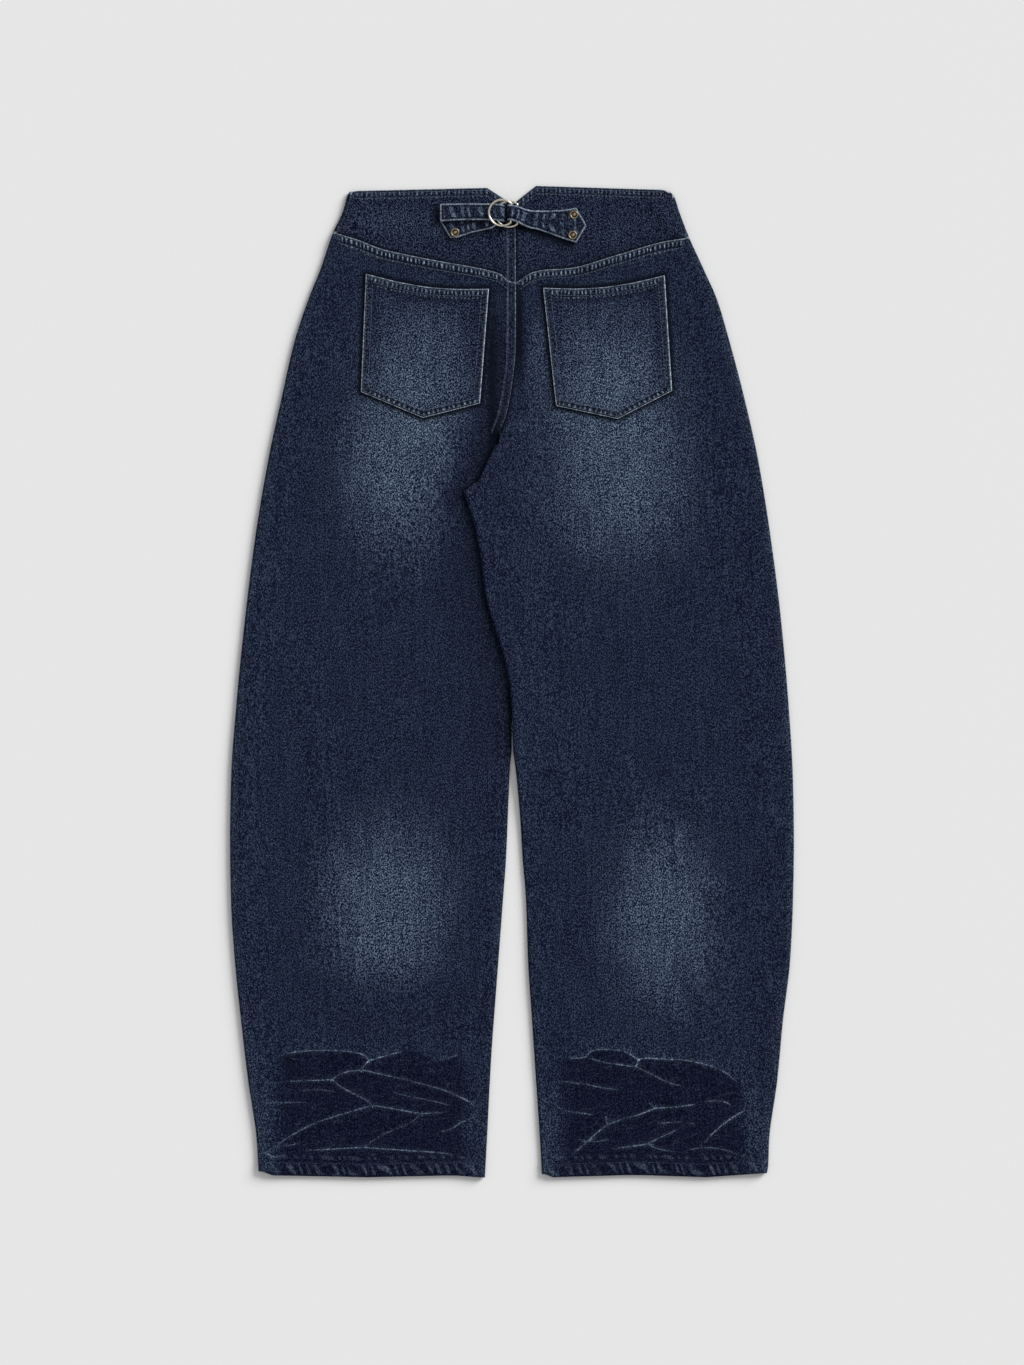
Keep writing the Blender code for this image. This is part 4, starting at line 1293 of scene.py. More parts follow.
# Back pockets: the corners of each patch, and the point of its lower edge
Pocket = namedtuple("Pocket", "side top_outer top_inner low_outer low_inner point dip")
POCKETS = [
    Pocket("left", (-153.3, 92.4), (-24.2, 108.2), (-158.6, 216.3), (-33.6, 228.4), (-93.5, 243.6), 6),
    Pocket("right", (160.2, 94), (32.6, 107.1), (168, 215.3), (46.2, 231), (110.9, 244.7), 6),
]
POCKET_STEPS = (0, 0.12, 0.26, 0.4, 0.52, 0.64, 0.77, 0.89, 1)
POCKET_STEP = 1.3
POCKET_FALL = 130.0
POCKET_ROWS = (2.2, 7.5)
POCKET_BAND = 4.5
POCKET_PUCKERS = 5.2


def pocket_place(spec, share, fall):
    """Place across and down of a pocket's point, from its shares across and down."""
    middle = POCKET_STEPS[4]
    corners = [np.array(corner, float) for corner in spec[1:6]]
    top_outer, top_inner, low_outer, low_inner, point = corners
    share = np.asarray(share, float)[..., None]
    fall = np.asarray(fall, float)[..., None]
    top = top_outer + (top_inner - top_outer) * share
    top = top + np.concatenate([0 * share, spec.dip * np.sin(math.pi * share)], axis=-1)
    first = low_outer + (point - low_outer) * share / middle
    second = point + (low_inner - point) * (share - middle) / (1 - middle)
    place = top + (np.where(share <= middle, first, second) - top) * fall
    return place[..., 0], place[..., 1]


def pocket_border(spec, across, down):
    """The nearest edge of the pocket at each place: along, distance, bars and line."""
    shares = (0, 0.25, 0.5, 0.75, 1)
    top = [tuple(float(part) for part in pocket_place(spec, share, 0)) for share in shares]
    edges = [(first, second, 0.75, 0.7, 1.0) for first, second in zip(top, top[1:])]
    edges.append((spec.top_inner, spec.low_inner, 0.1, 0.95, 1.0))
    edges.append((spec.low_inner, spec.point, 0.9, 1.0, 1.5))
    edges.append((spec.point, spec.low_outer, 0.9, 1.0, 1.5))
    edges.append((spec.low_outer, spec.top_outer, 0.1, 0.95, 1.0))
    seams = []
    begun = 0.0
    for first, second, bars, line, narrow in edges:
        off, share = along_line(across, down, first, second)
        size = math.dist(first, second)
        place = (begun + share * size) / (1 + 0.55 * (narrow - 1))
        seams.append((place, off, bars, line, narrow))
        begun += size
    return choose_seam(seams)


def pocket(spec):
    """A patch on the back panel, made from the panel's own surface moved out."""
    steps, at = refine(POCKET_STEPS, step_counts(POCKET_STEPS, POCKET_WIDTH, POCKET_STEP))
    share, fall = np.meshgrid(steps, steps)
    across, down = pocket_place(spec, share, fall)
    along, off, bars, line, narrow = pocket_border(spec, across, down)
    lift = REST_GAP + POCKET_WALL * np.sqrt(ease(off, -0.6, 1.0))
    puckers = 0.2 * bars * np.sin(along * 2 * math.pi / POCKET_PUCKERS) * bump(off - POCKET_BAND, 2.5)
    rows = 0.22 * bump(off - POCKET_ROWS[0], 0.8), 0.2 * bump(off - POCKET_ROWS[1], 0.9)
    relief = 0.3 * bump(off - POCKET_BAND, 3) - rows[0] - rows[1]
    height = surface(spec.side, across, down) + lift + relief + puckers
    low = np.ix_(at, at)
    inner = (across[low], down[low], top_height(spec.side, across[low], down[low]) + REST_GAP)
    seams = [(along, off * narrow, bars, line)]
    turned_in = 1 - ease(fall * POCKET_FALL, 11, 17)
    marks = cloth_marks(spec.side, across, down, seams, extra=-0.3 * bump(off, 13) - 0.3 * turned_in)
    outer = (across, down, height)
    return shell("cloth_pocket_" + spec.side, spec.side, outer, inner, at, at, marks, cloth="denim_crisp")


def turn(start, end, bulge):
    """Stations half way round a turn of the strap, bulging to one side between two stations."""
    middle = (start.height + end.height) / 2
    radius = (end.height - start.height) / 2
    stations = []
    for step in range(1, TURN_STEPS):
        angle = -math.pi / 2 + math.pi * step / TURN_STEPS
        share = step / TURN_STEPS
        across = start.across + (end.across - start.across) * share
        upper = start.upper + (end.upper - start.upper) * share
        lower = start.lower + (end.lower - start.lower) * share
        height = middle + radius * math.sin(angle)
        stations.append(Station(across + bulge * radius * math.cos(angle), upper, lower, height))
    return stations


def strap_border(table, length, along, down):
    """The nearest edge of the strap, laid flat: distance to it and place along it."""
    upper = list(zip(length, table[:, 1]))
    lower = list(zip(length, table[:, 2]))
    outline = upper + lower[::-1] + upper[:1]
    seams = []
    begun = 0.0
    for first, second in zip(outline, outline[1:]):
        size = math.dist(first, second)
        off, share = along_line(along, down, first, second)
        seams.append((begun + share * size, off))
        begun += size
    return choose_seam(seams)


def strap(name, stations):
    """A band of cloth along its stations, with rounded edges and puckers along its stitching."""
    table = np.array(stations, float)
    run = np.gradient(table[:, [0, 3]], axis=0)
    run /= np.linalg.norm(run, axis=1)[:, None]
    sizes = np.hypot(np.diff(table[:, 0]), np.diff(table[:, 3]))
    length = np.concatenate([[0], np.cumsum(sizes)])
    counts = [max(2, math.ceil(size / STRAP_STEP)) for size in sizes]
    spots, _ = refine(range(len(table)), counts)
    at = np.arange(len(table))
    fine = np.stack([np.interp(spots, at, part) for part in table.T], axis=1)
    out = np.stack([np.interp(spots, at, part) for part in (-run[:, 1], run[:, 0])], axis=1)
    shares = np.linspace(0, 1, STRAP_COLUMNS)
    down = fine[:, 1:2] + (fine[:, 2:3] - fine[:, 1:2]) * shares
    along = np.interp(spots, at, length)[:, None] + 0 * down
    place, off = strap_border(table, length, along, down)
    rounded = np.sqrt(ease(off, -0.3, 1.0)) - 1
    puckers = 0.16 * np.sin(along * 2 * math.pi / STRAP_PUCKERS + np.sin(along * 0.5)) * ease(off, 1, 3)
    lift = STRAP_WALL / 2 + 0.55 * rounded + puckers + 0.25 * bump(off - 5, 3) - 0.2 * bump(off - 1.9, 0.7)
    points = []
    for sign, order in ((1, slice(None)), (-1, slice(None, None, -1))):
        across = fine[:, 0:1] + out[:, 0:1] * lift * sign
        height = fine[:, 3:4] + out[:, 1:2] * lift * sign
        points.append(metres(across, down, height)[:, order])
    ring = np.concatenate(points, axis=1)
    rows, columns = ring.shape[:2]
    number = np.arange(rows * columns).reshape(rows, columns)
    after = np.roll(number, -1, axis=1)
    quads = np.stack([number[:-1], number[1:], after[1:], after[:-1]], axis=-1).reshape(-1, 4)
    faces = quads.tolist() + [number[0].tolist(), number[-1][::-1].tolist()]
    obj = add_object(name, ring.reshape(-1, 3), faces, ("denim_crisp",), TRIM_SHARP)
    uneven = along * 0.5 + 0.8 * np.sin(down * 0.2) + 1.1 * np.sin(along * 0.23)
    # Painted shadow of the folded-back layer on the left strap's lower layer, below the fold's edge; 0.05
    # darkens the whole strap evenly
    folded_layer_shadow = (fine[:, 3:4] < FOLDED_HEIGHT) & (name == "cloth_strap_left")
    shade = 0.05 + 0.6 * bump(down - FOLDED_EDGE, 8) * folded_layer_shadow
    marks = {
        "seam": (uneven, off * 0.72, 0.45 + 0 * off),
        "tone": (-shade, 0.62 + 0 * off, FAR + 0 * off),
        "crease": (0 * off, 0 * off, FAR + 0 * off),
    }
    one_face = {key: np.stack(values, axis=-1) for key, values in marks.items()}
    both_faces = {key: np.concatenate([face, face[:, ::-1]], axis=1) for key, face in one_face.items()}
    add_marks(obj.data, both_faces)
    return obj


# Stitches

STITCH_LENGTH = 2.7
STITCH_PITCH = 3.5
STITCH_RADIUS = 0.3
STITCH_SIDES = 5
# Rings of a stitch: share of its length, height over its run, share of its radius
STITCH_PROFILE = [(0.0, -0.3, 0.5), (0.2, 0.08, 1.0), (0.8, 0.08, 1.0), (1.0, -0.3, 0.5)]


def stitch_mesh(name, runs, material, up=1):
    """One mesh of short threads laid along runs of points, which dip into the cloth at their ends."""
    starts = []
    ends = []
    for points in runs:
        points = np.asarray(points, float)
        lengths = np.concatenate([[0], np.cumsum(np.linalg.norm(np.diff(points, axis=0), axis=1))])
        marks = np.arange(0.4, lengths[-1] - STITCH_LENGTH, STITCH_PITCH)
        for shift, found in ((0, starts), (STITCH_LENGTH, ends)):
            found.append(np.stack([np.interp(marks + shift, lengths, part) for part in points.T], axis=1))
    start = np.concatenate(starts)
    run = np.concatenate(ends) - start
    side = np.stack([-run[:, 1], run[:, 0], 0 * run[:, 0]], axis=1)
    side /= np.linalg.norm(side, axis=1)[:, None]
    rings = []
    for share, rise, thick in STITCH_PROFILE:
        centre = start + run * share + np.array([0, 0, rise * up])
        for step in range(STITCH_SIDES):
            angle = 2 * math.pi * step / STITCH_SIDES
            radius = STITCH_RADIUS * thick
            lift = np.array([0, 0, radius * math.sin(angle)])
            rings.append(centre + side * radius * math.cos(angle) + lift)
    points = np.stack(rings, axis=1)
    each = points.shape[1]
    faces = ring_faces(len(STITCH_PROFILE), STITCH_SIDES)
    caps = [list(range(STITCH_SIDES))[::-1], list(range(each - STITCH_SIDES, each))]
    all_faces = []
    for number in range(len(points)):
        all_faces += [[corner + number * each for corner in face] for face in faces + caps]
    flat = points.reshape(-1, 3)
    return add_object(name, metres(*flat.T), all_faces, (material,))


def run_on_cloth(side, across, down, extra=0.12):
    """Points of a run of stitches on the upper cloth of one side."""
    across = np.asarray(across, float)
    down = np.asarray(down, float) + 0 * across
    return np.stack([across, down, surface(side, across, down) + extra], axis=1)


def cloth_stitches():
    """Runs along the yoke seam and the waist edge."""
    runs = []
    for side, first, last in (("left", -184, 2), ("right", 8, 180)):
        across = np.linspace(first, last, 160)
        for below in (2.2, 9.6):
            runs.append(run_on_cloth(side, across, yoke_seam(side, across) + below))
    for side, first, last in (("left", -166, -8), ("right", 10, 161)):
        across = np.linspace(first, last, 140)
        for below in (2.6, 8.2):
            runs.append(run_on_cloth(side, across, straight(WAIST_EDGE, across) + below, -0.1))
    return stitch_mesh("stitches_cloth", runs, "thread")


# Ends of the line of stitches that holds the yoke's facing: side, across and down, twice
FACING_STITCHES = [("left", (-150, 30), (-74, 40)), ("right", (60, 40), (158, 28))]


def dark_stitches():
    """Runs in darker thread: each hem, the centre seam and the yoke's facing."""
    runs = []
    for side, first, last in (("left", -256, -34), ("right", 38, 256)):
        across = np.linspace(first, last, 160)
        runs.append(run_on_cloth(side, across, straight(HEM_EDGE, across) - HEM_DEPTH + 1.5, 0.02))
    for down, extra in ((np.linspace(104, 255, 90), 0.12), (np.linspace(66, 98, 30), 0)):
        for beside in (2.2, 7.6):
            runs.append(run_on_cloth("left", inner_edge("left", down) - beside, down, extra))
    for side, first, last in FACING_STITCHES:
        share = np.linspace(0, 1, 60)
        across = first[0] + (last[0] - first[0]) * share
        runs.append(run_on_cloth(side, across, first[1] + (last[1] - first[1]) * share, -0.2))
    return stitch_mesh("stitches_dark", runs, "thread_dark")


def front_stitches():
    """Two rows along the fly and inside the opening of each front pocket, on the lower cloth."""
    runs = []
    lines = [("left", FLY_STITCHES, (0.0, 5.5))] + [(side, FRONT_POCKET, POCKET_ROWS) for side in SIDES]
    for side, places, insets in lines:
        line = np.array(rounded_line([(place[0] * SIDES[side], place[1]) for place in places]))
        run = np.gradient(line, axis=0)
        run /= np.linalg.norm(run, axis=1)[:, None]
        for inset in insets:
            shift = -inset * SIDES[side] if places is FLY_STITCHES else inset * SIDES[side]
            across = line[:, 0] + run[:, 1] * shift
            down = line[:, 1] - run[:, 0] * shift
            spots = np.linspace(0, len(line) - 1, 120)
            across, down = (np.interp(spots, np.arange(len(line)), part) for part in (across, down))
            inside = (down > band_seam(side, across) + 1) & (abs(across - outer_edge(side, down)) > 6)
            across, down = across[inside], down[inside]
            height = under_surface(side, across, down) - 0.02
            runs.append(np.stack([across, down, height], axis=1))
    return stitch_mesh("stitches_front", runs, "thread", up=-1)


def pocket_stitches(spec):
    """Two rows inside the edge of a pocket."""
    runs = []
    for inset in POCKET_ROWS:
        share = inset / POCKET_FALL
        steps = np.linspace(share, 1 - share, 60)
        ends = np.full(60, share)
        for row, column in ((ends, steps), (steps, 1 - ends), (1 - ends, steps[::-1]), (steps[::-1], ends)):
            across, down = pocket_place(spec, column, row)
            height = surface(spec.side, across, down) + REST_GAP + POCKET_WALL + 0.1
            runs.append(np.stack([across, down, height], axis=1))
    return stitch_mesh("stitches_pocket_" + spec.side, runs, "thread")


# Metal

Ring = namedtuple("Ring", "name across down radius bar far_height bar_height")
RINGS = [
    Ring("d_ring_upper", -10.5, 28.9, 13.6, -1.2, 11.05, 9.2),
    Ring("d_ring_lower", -3.0, 30.1, 13.4, 5.6, 6.8, 7.4),
]
RING_CORNER = 1.5
RING_SIDES = 20
RING_STEPS = 72


def ring_path(ring):
    """Points round a D: the long round, then a small round at each end of the straight bar."""
    reach = ring.bar - ring.across
    corner_across = reach - RING_CORNER
    corner_down = math.sqrt((ring.radius - RING_CORNER) ** 2 - corner_across ** 2)
    turn_at = math.atan2(corner_down, corner_across)
    angles = turn_at + (2 * math.pi - 2 * turn_at) * np.linspace(0, 1, RING_STEPS)
    parts = [(ring.radius * np.cos(angles), ring.radius * np.sin(angles))]
    for sign, sweep in ((-1, np.linspace(-turn_at, 0, 7)[1:]), (1, np.linspace(0, turn_at, 7)[:-1])):
        across = corner_across + RING_CORNER * np.cos(sweep)
        parts.append((across, sign * corner_down + RING_CORNER * np.sin(sweep)))
    across, down = (np.concatenate(part) for part in zip(*parts))
    slope = (ring.bar_height - ring.far_height) / (ring.radius + reach)
    height = ring.far_height + (across + ring.radius) * slope
    return np.stack([ring.across + across, ring.down + down, height], axis=1)


def d_ring(ring):
    """A ring of round wire along its path."""
    path = ring_path(ring)
    run = np.roll(path, -1, axis=0) - np.roll(path, 1, axis=0)
    side = np.stack([-run[:, 1], run[:, 0], 0 * run[:, 0]], axis=1)
    side /= np.linalg.norm(side, axis=1)[:, None]
    angles = 2 * math.pi * np.arange(RING_SIDES) / RING_SIDES
    up = np.array([0, 0, 1.0])
    offset = side[:, None, :] * np.cos(angles)[None, :, None] + up * np.sin(angles)[None, :, None]
    points = (path[:, None, :] + offset * WIRE_RADIUS).reshape(-1, 3)
    faces = ring_faces(len(path), RING_SIDES, closed=True)
    obj = add_object("wire_" + ring.name, metres(*points.T), faces, ("silver",))
    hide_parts(ring.name)
    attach(obj, "root")
    return obj


# Rivets on the tabs: name, across, down, height of the strap under them
Rivet = namedtuple("Rivet", "name across down height")
RIVETS = [
    Rivet("rivet_left_lower", -59.8, 49.3, 5.1),
    Rivet("rivet_left_upper", -60.4, 26.2, 5.1),
    Rivet("rivet_right_upper", 65.1, 30.5, 5.5),
    Rivet("rivet_right_lower", 63.7, 52, 5.5),
]
RIVET_PROFILE = [
    (3.9, 0), (4.45, 0.15), (4.6, 0.45), (4.5, 0.75), (4.15, 0.95), (3.6, 0.95), (3.15, 0.7),
    (2.8, 0.42), (2.4, 0.35), (1.95, 0.42), (1.75, 0.8), (1.55, 1.15), (1.15, 1.38), (0.6, 1.46),
]
BUTTON_PROFILE = [
    (7.6, 0.35), (8.1, 0.1), (8.45, 0.3), (8.5, 0.7), (8.3, 1.1), (7.9, 1.3), (6.0, 1.3),
]
# Rings of a rivet's profile that lie in its darker hollow
HOLLOW_RINGS = (6, 7, 8, 9)
TURNED_SIDES = 40


def turned(name, profile, place, replaced):
    """A turned piece with a smooth profile, its foot at a place across, down and up."""
    profile = np.array(profile, float)
    angles = 2 * math.pi * np.arange(TURNED_SIDES) / TURNED_SIDES
    points = []
    for radius, rise in profile:
        across = place[0] + radius * np.cos(angles)
        down = place[1] - radius * np.sin(angles)
        points.append(metres(across, down, place[2] + rise + 0 * across))
    faces = ring_faces(len(profile), TURNED_SIDES)
    faces.append(list(range(TURNED_SIDES))[::-1])
    faces.append(list(range((len(profile) - 1) * TURNED_SIDES, len(profile) * TURNED_SIDES)))
    obj = add_object(name, np.concatenate(points), faces, ("brass", "brass_dark"), TRIM_SHARP)
    rings = np.arange(len(faces)) // TURNED_SIDES
    hollow = np.isin(rings, HOLLOW_RINGS) & (name != "cap_button")
    obj.data.polygons.foreach_set("material_index", hollow.astype(np.int32))
    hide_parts(replaced)
    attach(obj, "root")
    return obj


# Materials


class Net:
    """Short calls that add linked nodes to a material."""

    def __init__(self, name):
        self.material = bpy.data.materials.new(name)
        self.material.use_nodes = True
        self.nodes = self.material.node_tree.nodes
        self.links = self.material.node_tree.links
        self.shader = self.nodes["Principled BSDF"]
        self.place = self.nodes.new("ShaderNodeTexCoord").outputs["Object"]

    def plug(self, socket, value):
        if isinstance(value, bpy.types.NodeSocket):
            self.links.new(value, socket)
        else:
            socket.default_value = value

    def math(self, operation, *values):
        node = self.nodes.new("ShaderNodeMath")
        node.operation = operation
        for socket, value in zip(node.inputs, values):
            self.plug(socket, value)
        return node.outputs[0]

    def chain(self, operation, values):
        """The operation on the first two values, then on its result and each next value."""
        total = values[0]
        for value in values[1:]:
            total = self.math(operation, total, value)
        return total

    def plus(self, *values):
        return self.chain("ADD", values)

    def minus(self, first, second):
        return self.math("SUBTRACT", first, second)

    def times(self, *values):
        return self.chain("MULTIPLY", values)

    def over(self, first, second):
        return self.math("DIVIDE", first, second)

    def most(self, *values):
        return self.chain("MAXIMUM", values)

    def apart(self, first, second=0.0):
        """How far apart two values are."""
        return self.math("ABSOLUTE", self.minus(first, second))

    def attribute(self, name):
        node = self.nodes.new("ShaderNodeAttribute")
        node.attribute_name = name
        parts = self.nodes.new("ShaderNodeSeparateXYZ")
        self.links.new(node.outputs["Vector"], parts.inputs[0])
        return parts.outputs

    def turned(self, angle, size):
        """Places on the object in steps of the pattern's size in millimetres, turned about Z."""
        node = self.nodes.new("ShaderNodeMapping")
        node.vector_type = "TEXTURE"
        self.links.new(self.place, node.inputs["Vector"])
        node.inputs["Rotation"].default_value = (0, 0, math.radians(angle))
        node.inputs["Scale"].default_value = [part * 0.001 for part in size]
        return node.outputs[0]

    def noise(self, vector, detail=1.0, roughness=0.5):
        node = self.nodes.new("ShaderNodeTexNoise")
        self.links.new(vector, node.inputs["Vector"])
        node.inputs["Scale"].default_value = 1.0
        node.inputs["Detail"].default_value = detail
        node.inputs["Roughness"].default_value = roughness
        return node.outputs[0]

    def pattern(self, kind):
        return self.noise(self.turned(kind.angle, kind.size), kind.detail, kind.roughness)

    def swing(self, kind):
        """A pattern's values about their middle."""
        return self.minus(self.pattern(kind), 0.5)

    def join(self, *parts):
        node = self.nodes.new("ShaderNodeCombineXYZ")
        for socket, value in zip(node.inputs, parts):
            self.plug(socket, value)
        return node.outputs[0]

    def step(self, value, low, high, start=0.0, end=1.0):
        """Smooth step of a value between two limits."""
        node = self.nodes.new("ShaderNodeMapRange")
        node.interpolation_type = "SMOOTHSTEP"
        for socket, part in zip(node.inputs[:5], (value, low, high, start, end)):
            self.plug(socket, part)
        return node.outputs[0]

    def fall(self, value, low, high):
        """Smooth step from 1 down to 0."""
        return self.step(value, low, high, 1.0, 0.0)

    def mix(self, share, first, second):
        node = self.nodes.new("ShaderNodeMix")
        node.data_type = "RGBA"
        self.plug(node.inputs["Factor"], share)
        for socket, value in ((node.inputs[6], first), (node.inputs[7], second)):
            self.plug(socket, value)
        return node.outputs[2]

    def bump(self, height, strength, distance, normal=None):
        node = self.nodes.new("ShaderNodeBump")
        node.inputs["Strength"].default_value = strength
        node.inputs["Distance"].default_value = distance
        self.links.new(height, node.inputs["Height"])
        if normal is not None:
            self.links.new(normal, node.inputs["Normal"])
        return node.outputs[0]

    def finish(self, colour, roughness, normal=None, metallic=0.0, specular=0.5):
        self.plug(self.shader.inputs["Base Color"], colour)
        self.plug(self.shader.inputs["Roughness"], roughness)
        self.shader.inputs["Metallic"].default_value = metallic
        self.shader.inputs["Specular IOR Level"].default_value = specular
        if normal is not None:
            self.links.new(normal, self.shader.inputs["Normal"])
        return self.material


def linear(red, green, blue):
    """A colour as seen on a screen, 0 to 255, as the linear one that shaders take."""
    parts = [part / 255 for part in (red, green, blue)]
    return [part / 12.92 if part <= 0.04045 else ((part + 0.055) / 1.055) ** 2.4 for part in parts] + [1.0]


DARK_YARN = linear(7, 14, 33)
DARK_FLECK = linear(55, 66, 90)
CRISP_YARN = linear(1, 5, 23)
CRISP_FLECK = linear(64, 75, 101)
WORN_YARN = linear(11, 24, 46)
WORN_FLECK = linear(124, 143, 168)
CREASE_YARN = linear(2, 4, 22)
CREASE_FLECK = linear(33, 40, 65)
PALE_YARN = linear(78, 96, 118)
PALE_FLECK = linear(166, 182, 200)
LINE_YARN = linear(128, 146, 166)
LINE_FLECK = linear(212, 224, 234)
# Colour of painted shade and shadow, also of the darkest unfaded cloth
SHADE_AND_UNFADED = linear(6, 9, 20)


# Noise patterns: turn in degrees, size in millimetres, detail and roughness
Pattern = namedtuple("Pattern", "angle size detail roughness")
GRAIN = Pattern(14, (1.2, 2.1, 1.6), 2.0, 0.65)
SPECK = Pattern(-18, (0.7, 1.3, 1.0), 1.0, 0.5)
MOTTLE = Pattern(0, (24, 32, 26), 3.0, 0.5)
STREAK = Pattern(1, (2.6, 40, 10), 2.0, 0.5)
BREAKS = Pattern(0, (9, 6, 7), 3.0, 0.7)
RIDGES = Pattern(6, (66, 15, 20), 3.0, 0.5)
WRONG_SIDE = Pattern(-28, (0.9, 2.0, 1.0), 2.0, 0.6)
PLY = Pattern(40, (0.35, 0.35, 0.35), 2.0, 0.5)
RUBBED = Pattern(0, (0.8, 2.5, 0.8), 4.0, 0.6)
TARNISH = Pattern(0, (0.9, 0.9, 0.9), 4.0, 0.65)
SPECKLE = Pattern(0, (3, 3, 3), 2.0, 0.5)
TWILL_ANGLE = 32
TWILL_SIZE = (1.0, 6.0, 1.0)
FLECKS = (0.495, 0.585)
BAR_PITCH = 4.5
GROOVE_OFF = 2.1
ROW_OFF = 9.8
DARKEST = 0.9


def denim(name, dark_yarn, dark_fleck):
    """Indigo twill: salt and pepper yarns, fades, worn edges and pale bars across the seams, with painted
    shade and shadow.
    """
    net = Net(name)
    along, off, barred = net.attribute("seam")
    tone_share, lined, near = net.attribute("tone")
    crease_worn, calf, crease_off = net.attribute("crease")
    mixed = net.plus(net.times(net.pattern(GRAIN), 0.55), net.times(net.pattern(SPECK), 0.45))
    mottle = net.swing(MOTTLE)
    streak = net.swing(STREAK)
    flecks = net.step(net.plus(mixed, net.times(streak, 0.07)), *FLECKS)

    # Fades with wispy borders, and the dark of folded bands that stayed unfaded
    middle = net.step(tone_share, 0.02, 0.3, 0.22, 1.0)
    uneven = net.times(net.plus(net.times(mottle, 0.6), net.times(streak, 0.22)), middle)
    inside = net.math("GREATER_THAN", off, 0.0)
    folded = net.times(net.fall(off, 7.5, 12.0), inside, net.step(barred, 0.05, 0.6))
    share = net.times(net.plus(tone_share, uneven), net.minus(1.0, net.times(folded, 0.8)))
    share = net.math("MINIMUM", net.most(share, 0.0), 1.0)

    # Bars across the seams, between the two rows of stitches
    wander = net.noise(net.join(net.over(along, 13.0), 0.0, 0.0))
    phase = net.plus(net.over(along, BAR_PITCH), net.times(wander, 1.5))
    wave = net.math("SINE", net.times(phase, 2 * math.pi))
    uneven_bar = net.noise(net.join(net.over(along, 5.0), net.over(off, 4.0), 0.0))
    strength = net.step(uneven_bar, 0.25, 0.62, 0.25, 1.0)
    zone = net.times(net.step(off, 1.8, 3.2), net.fall(off, 5.4, 7.8))
    bars = net.times(net.step(wave, 0.0, 0.9), strength, zone, barred)
    row = net.fall(net.apart(off, ROW_OFF), 0.3, 1.2)
    row = net.times(row, net.step(wave, -0.2, 0.8), barred, 0.5)
    edge = net.times(net.fall(off, 0.6, 1.4), lined, inside)
    edge = net.times(edge, net.step(uneven_bar, 0.25, 0.65, 0.35, 0.95))

    # Painted shade in the groove inside the worn edge and between the bars, where the folded band also stays
    # unfaded; painted shadow beside an edge that lies over; dark dots where the bars are below 0; and the
    # tone below 0, which holds painted shade and shadow as well as darker cloth
    groove = net.times(net.fall(net.apart(off, GROOVE_OFF), 0.3, 1.3), lined, 0.85)
    under = net.times(net.step(off, -4.4, -0.9), net.math("LESS_THAN", off, 0.0), 0.9)
    between = net.times(folded, net.apart(barred), 0.68)
    dips = net.times(net.most(net.times(bars, -1.0), 0.0), 0.9)
    dark = net.most(groove, under, between, dips, net.times(tone_share, -1.0))
    dark = net.math("MINIMUM", dark, DARKEST)

    # Worn lines of the calf creases, thin and broken, with a faint glow beside them
    broken = net.step(net.pattern(BREAKS), 0.36, 0.62, 0.16, 1.0)
    thin = net.step(net.apart(crease_off), 0.12, 0.95, 0.92, 0.0)
    thin = net.times(thin, net.fall(near, 2.5, 3.5), broken)
    glow = net.step(near, 0.5, 4.5, 0.06, 0.0)
    crease_line = net.times(net.plus(thin, glow), crease_worn)
    faint = net.step(net.apart(net.swing(RIDGES)), 0.0, 0.02, 0.06, 0.0)
    faint = net.times(faint, calf, broken)

    cloth = net.mix(flecks, net.mix(share, dark_yarn, WORN_YARN), net.mix(share, dark_fleck, WORN_FLECK))
    calf_share = net.step(net.plus(calf, net.times(mottle, 0.7)), 0.12, 0.88)
    cloth = net.mix(calf_share, cloth, net.mix(flecks, CREASE_YARN, CREASE_FLECK))
    cloth = net.mix(dark, cloth, SHADE_AND_UNFADED)
    pale = net.most(bars, row, net.most(crease_line, faint))
    colour = net.mix(pale, cloth, net.mix(flecks, PALE_YARN, PALE_FLECK))
    colour = net.mix(edge, colour, net.mix(flecks, LINE_YARN, LINE_FLECK))

    twill = net.nodes.new("ShaderNodeTexWave")
    net.links.new(net.turned(TWILL_ANGLE, TWILL_SIZE), twill.inputs["Vector"])
    twill.inputs["Scale"].default_value = 0.31
    twill.inputs["Distortion"].default_value = 0.6
    weave = net.plus(net.times(twill.outputs["Fac"], 0.45), mixed)
    normal = net.bump(weave, 0.5, 0.0005)
    normal = net.bump(net.plus(bars, net.times(row, 0.6)), 0.6, 0.0007, normal)
    return net.finish(colour, 0.9, normal, specular=0.06)


def denim_inside():
    """The wrong side of the cloth, where the pale cross threads show."""
    net = Net("denim_inside")
    grain = net.pattern(WRONG_SIDE)
    colour = net.mix(net.step(grain, 0.35, 0.65), linear(70, 82, 100), linear(138, 148, 160))
    return net.finish(colour, 0.9, net.bump(grain, 0.5, 0.0004), specular=0.18)


def thread(name, dark, pale):
    """Sewing thread with its twist."""
    net = Net(name)
    ply = net.pattern(PLY)
    colour = net.mix(net.step(ply, 0.3, 0.7), dark, pale)
    return net.finish(colour, 0.7, net.bump(ply, 0.4, 0.0002), specular=0.3)


def silver():
    """Pale polished metal with faint rubbing."""
    net = Net("silver")
    rubbed = net.pattern(RUBBED)
    colour = net.mix(rubbed, linear(196, 188, 172), linear(236, 230, 216))
    return net.finish(colour, net.step(rubbed, 0.2, 0.8, 0.16, 0.34), net.bump(rubbed, 0.1, 0.0001), 1.0)


def brass(name, dark, pale):
    """Old brass with spots of tarnish."""
    net = Net(name)
    spots = net.pattern(TARNISH)
    colour = net.mix(net.step(spots, 0.3, 0.7), dark, pale)
    return net.finish(colour, net.step(spots, 0.2, 0.8, 0.5, 0.32), net.bump(spots, 0.25, 0.0002), 1.0)


# Stage

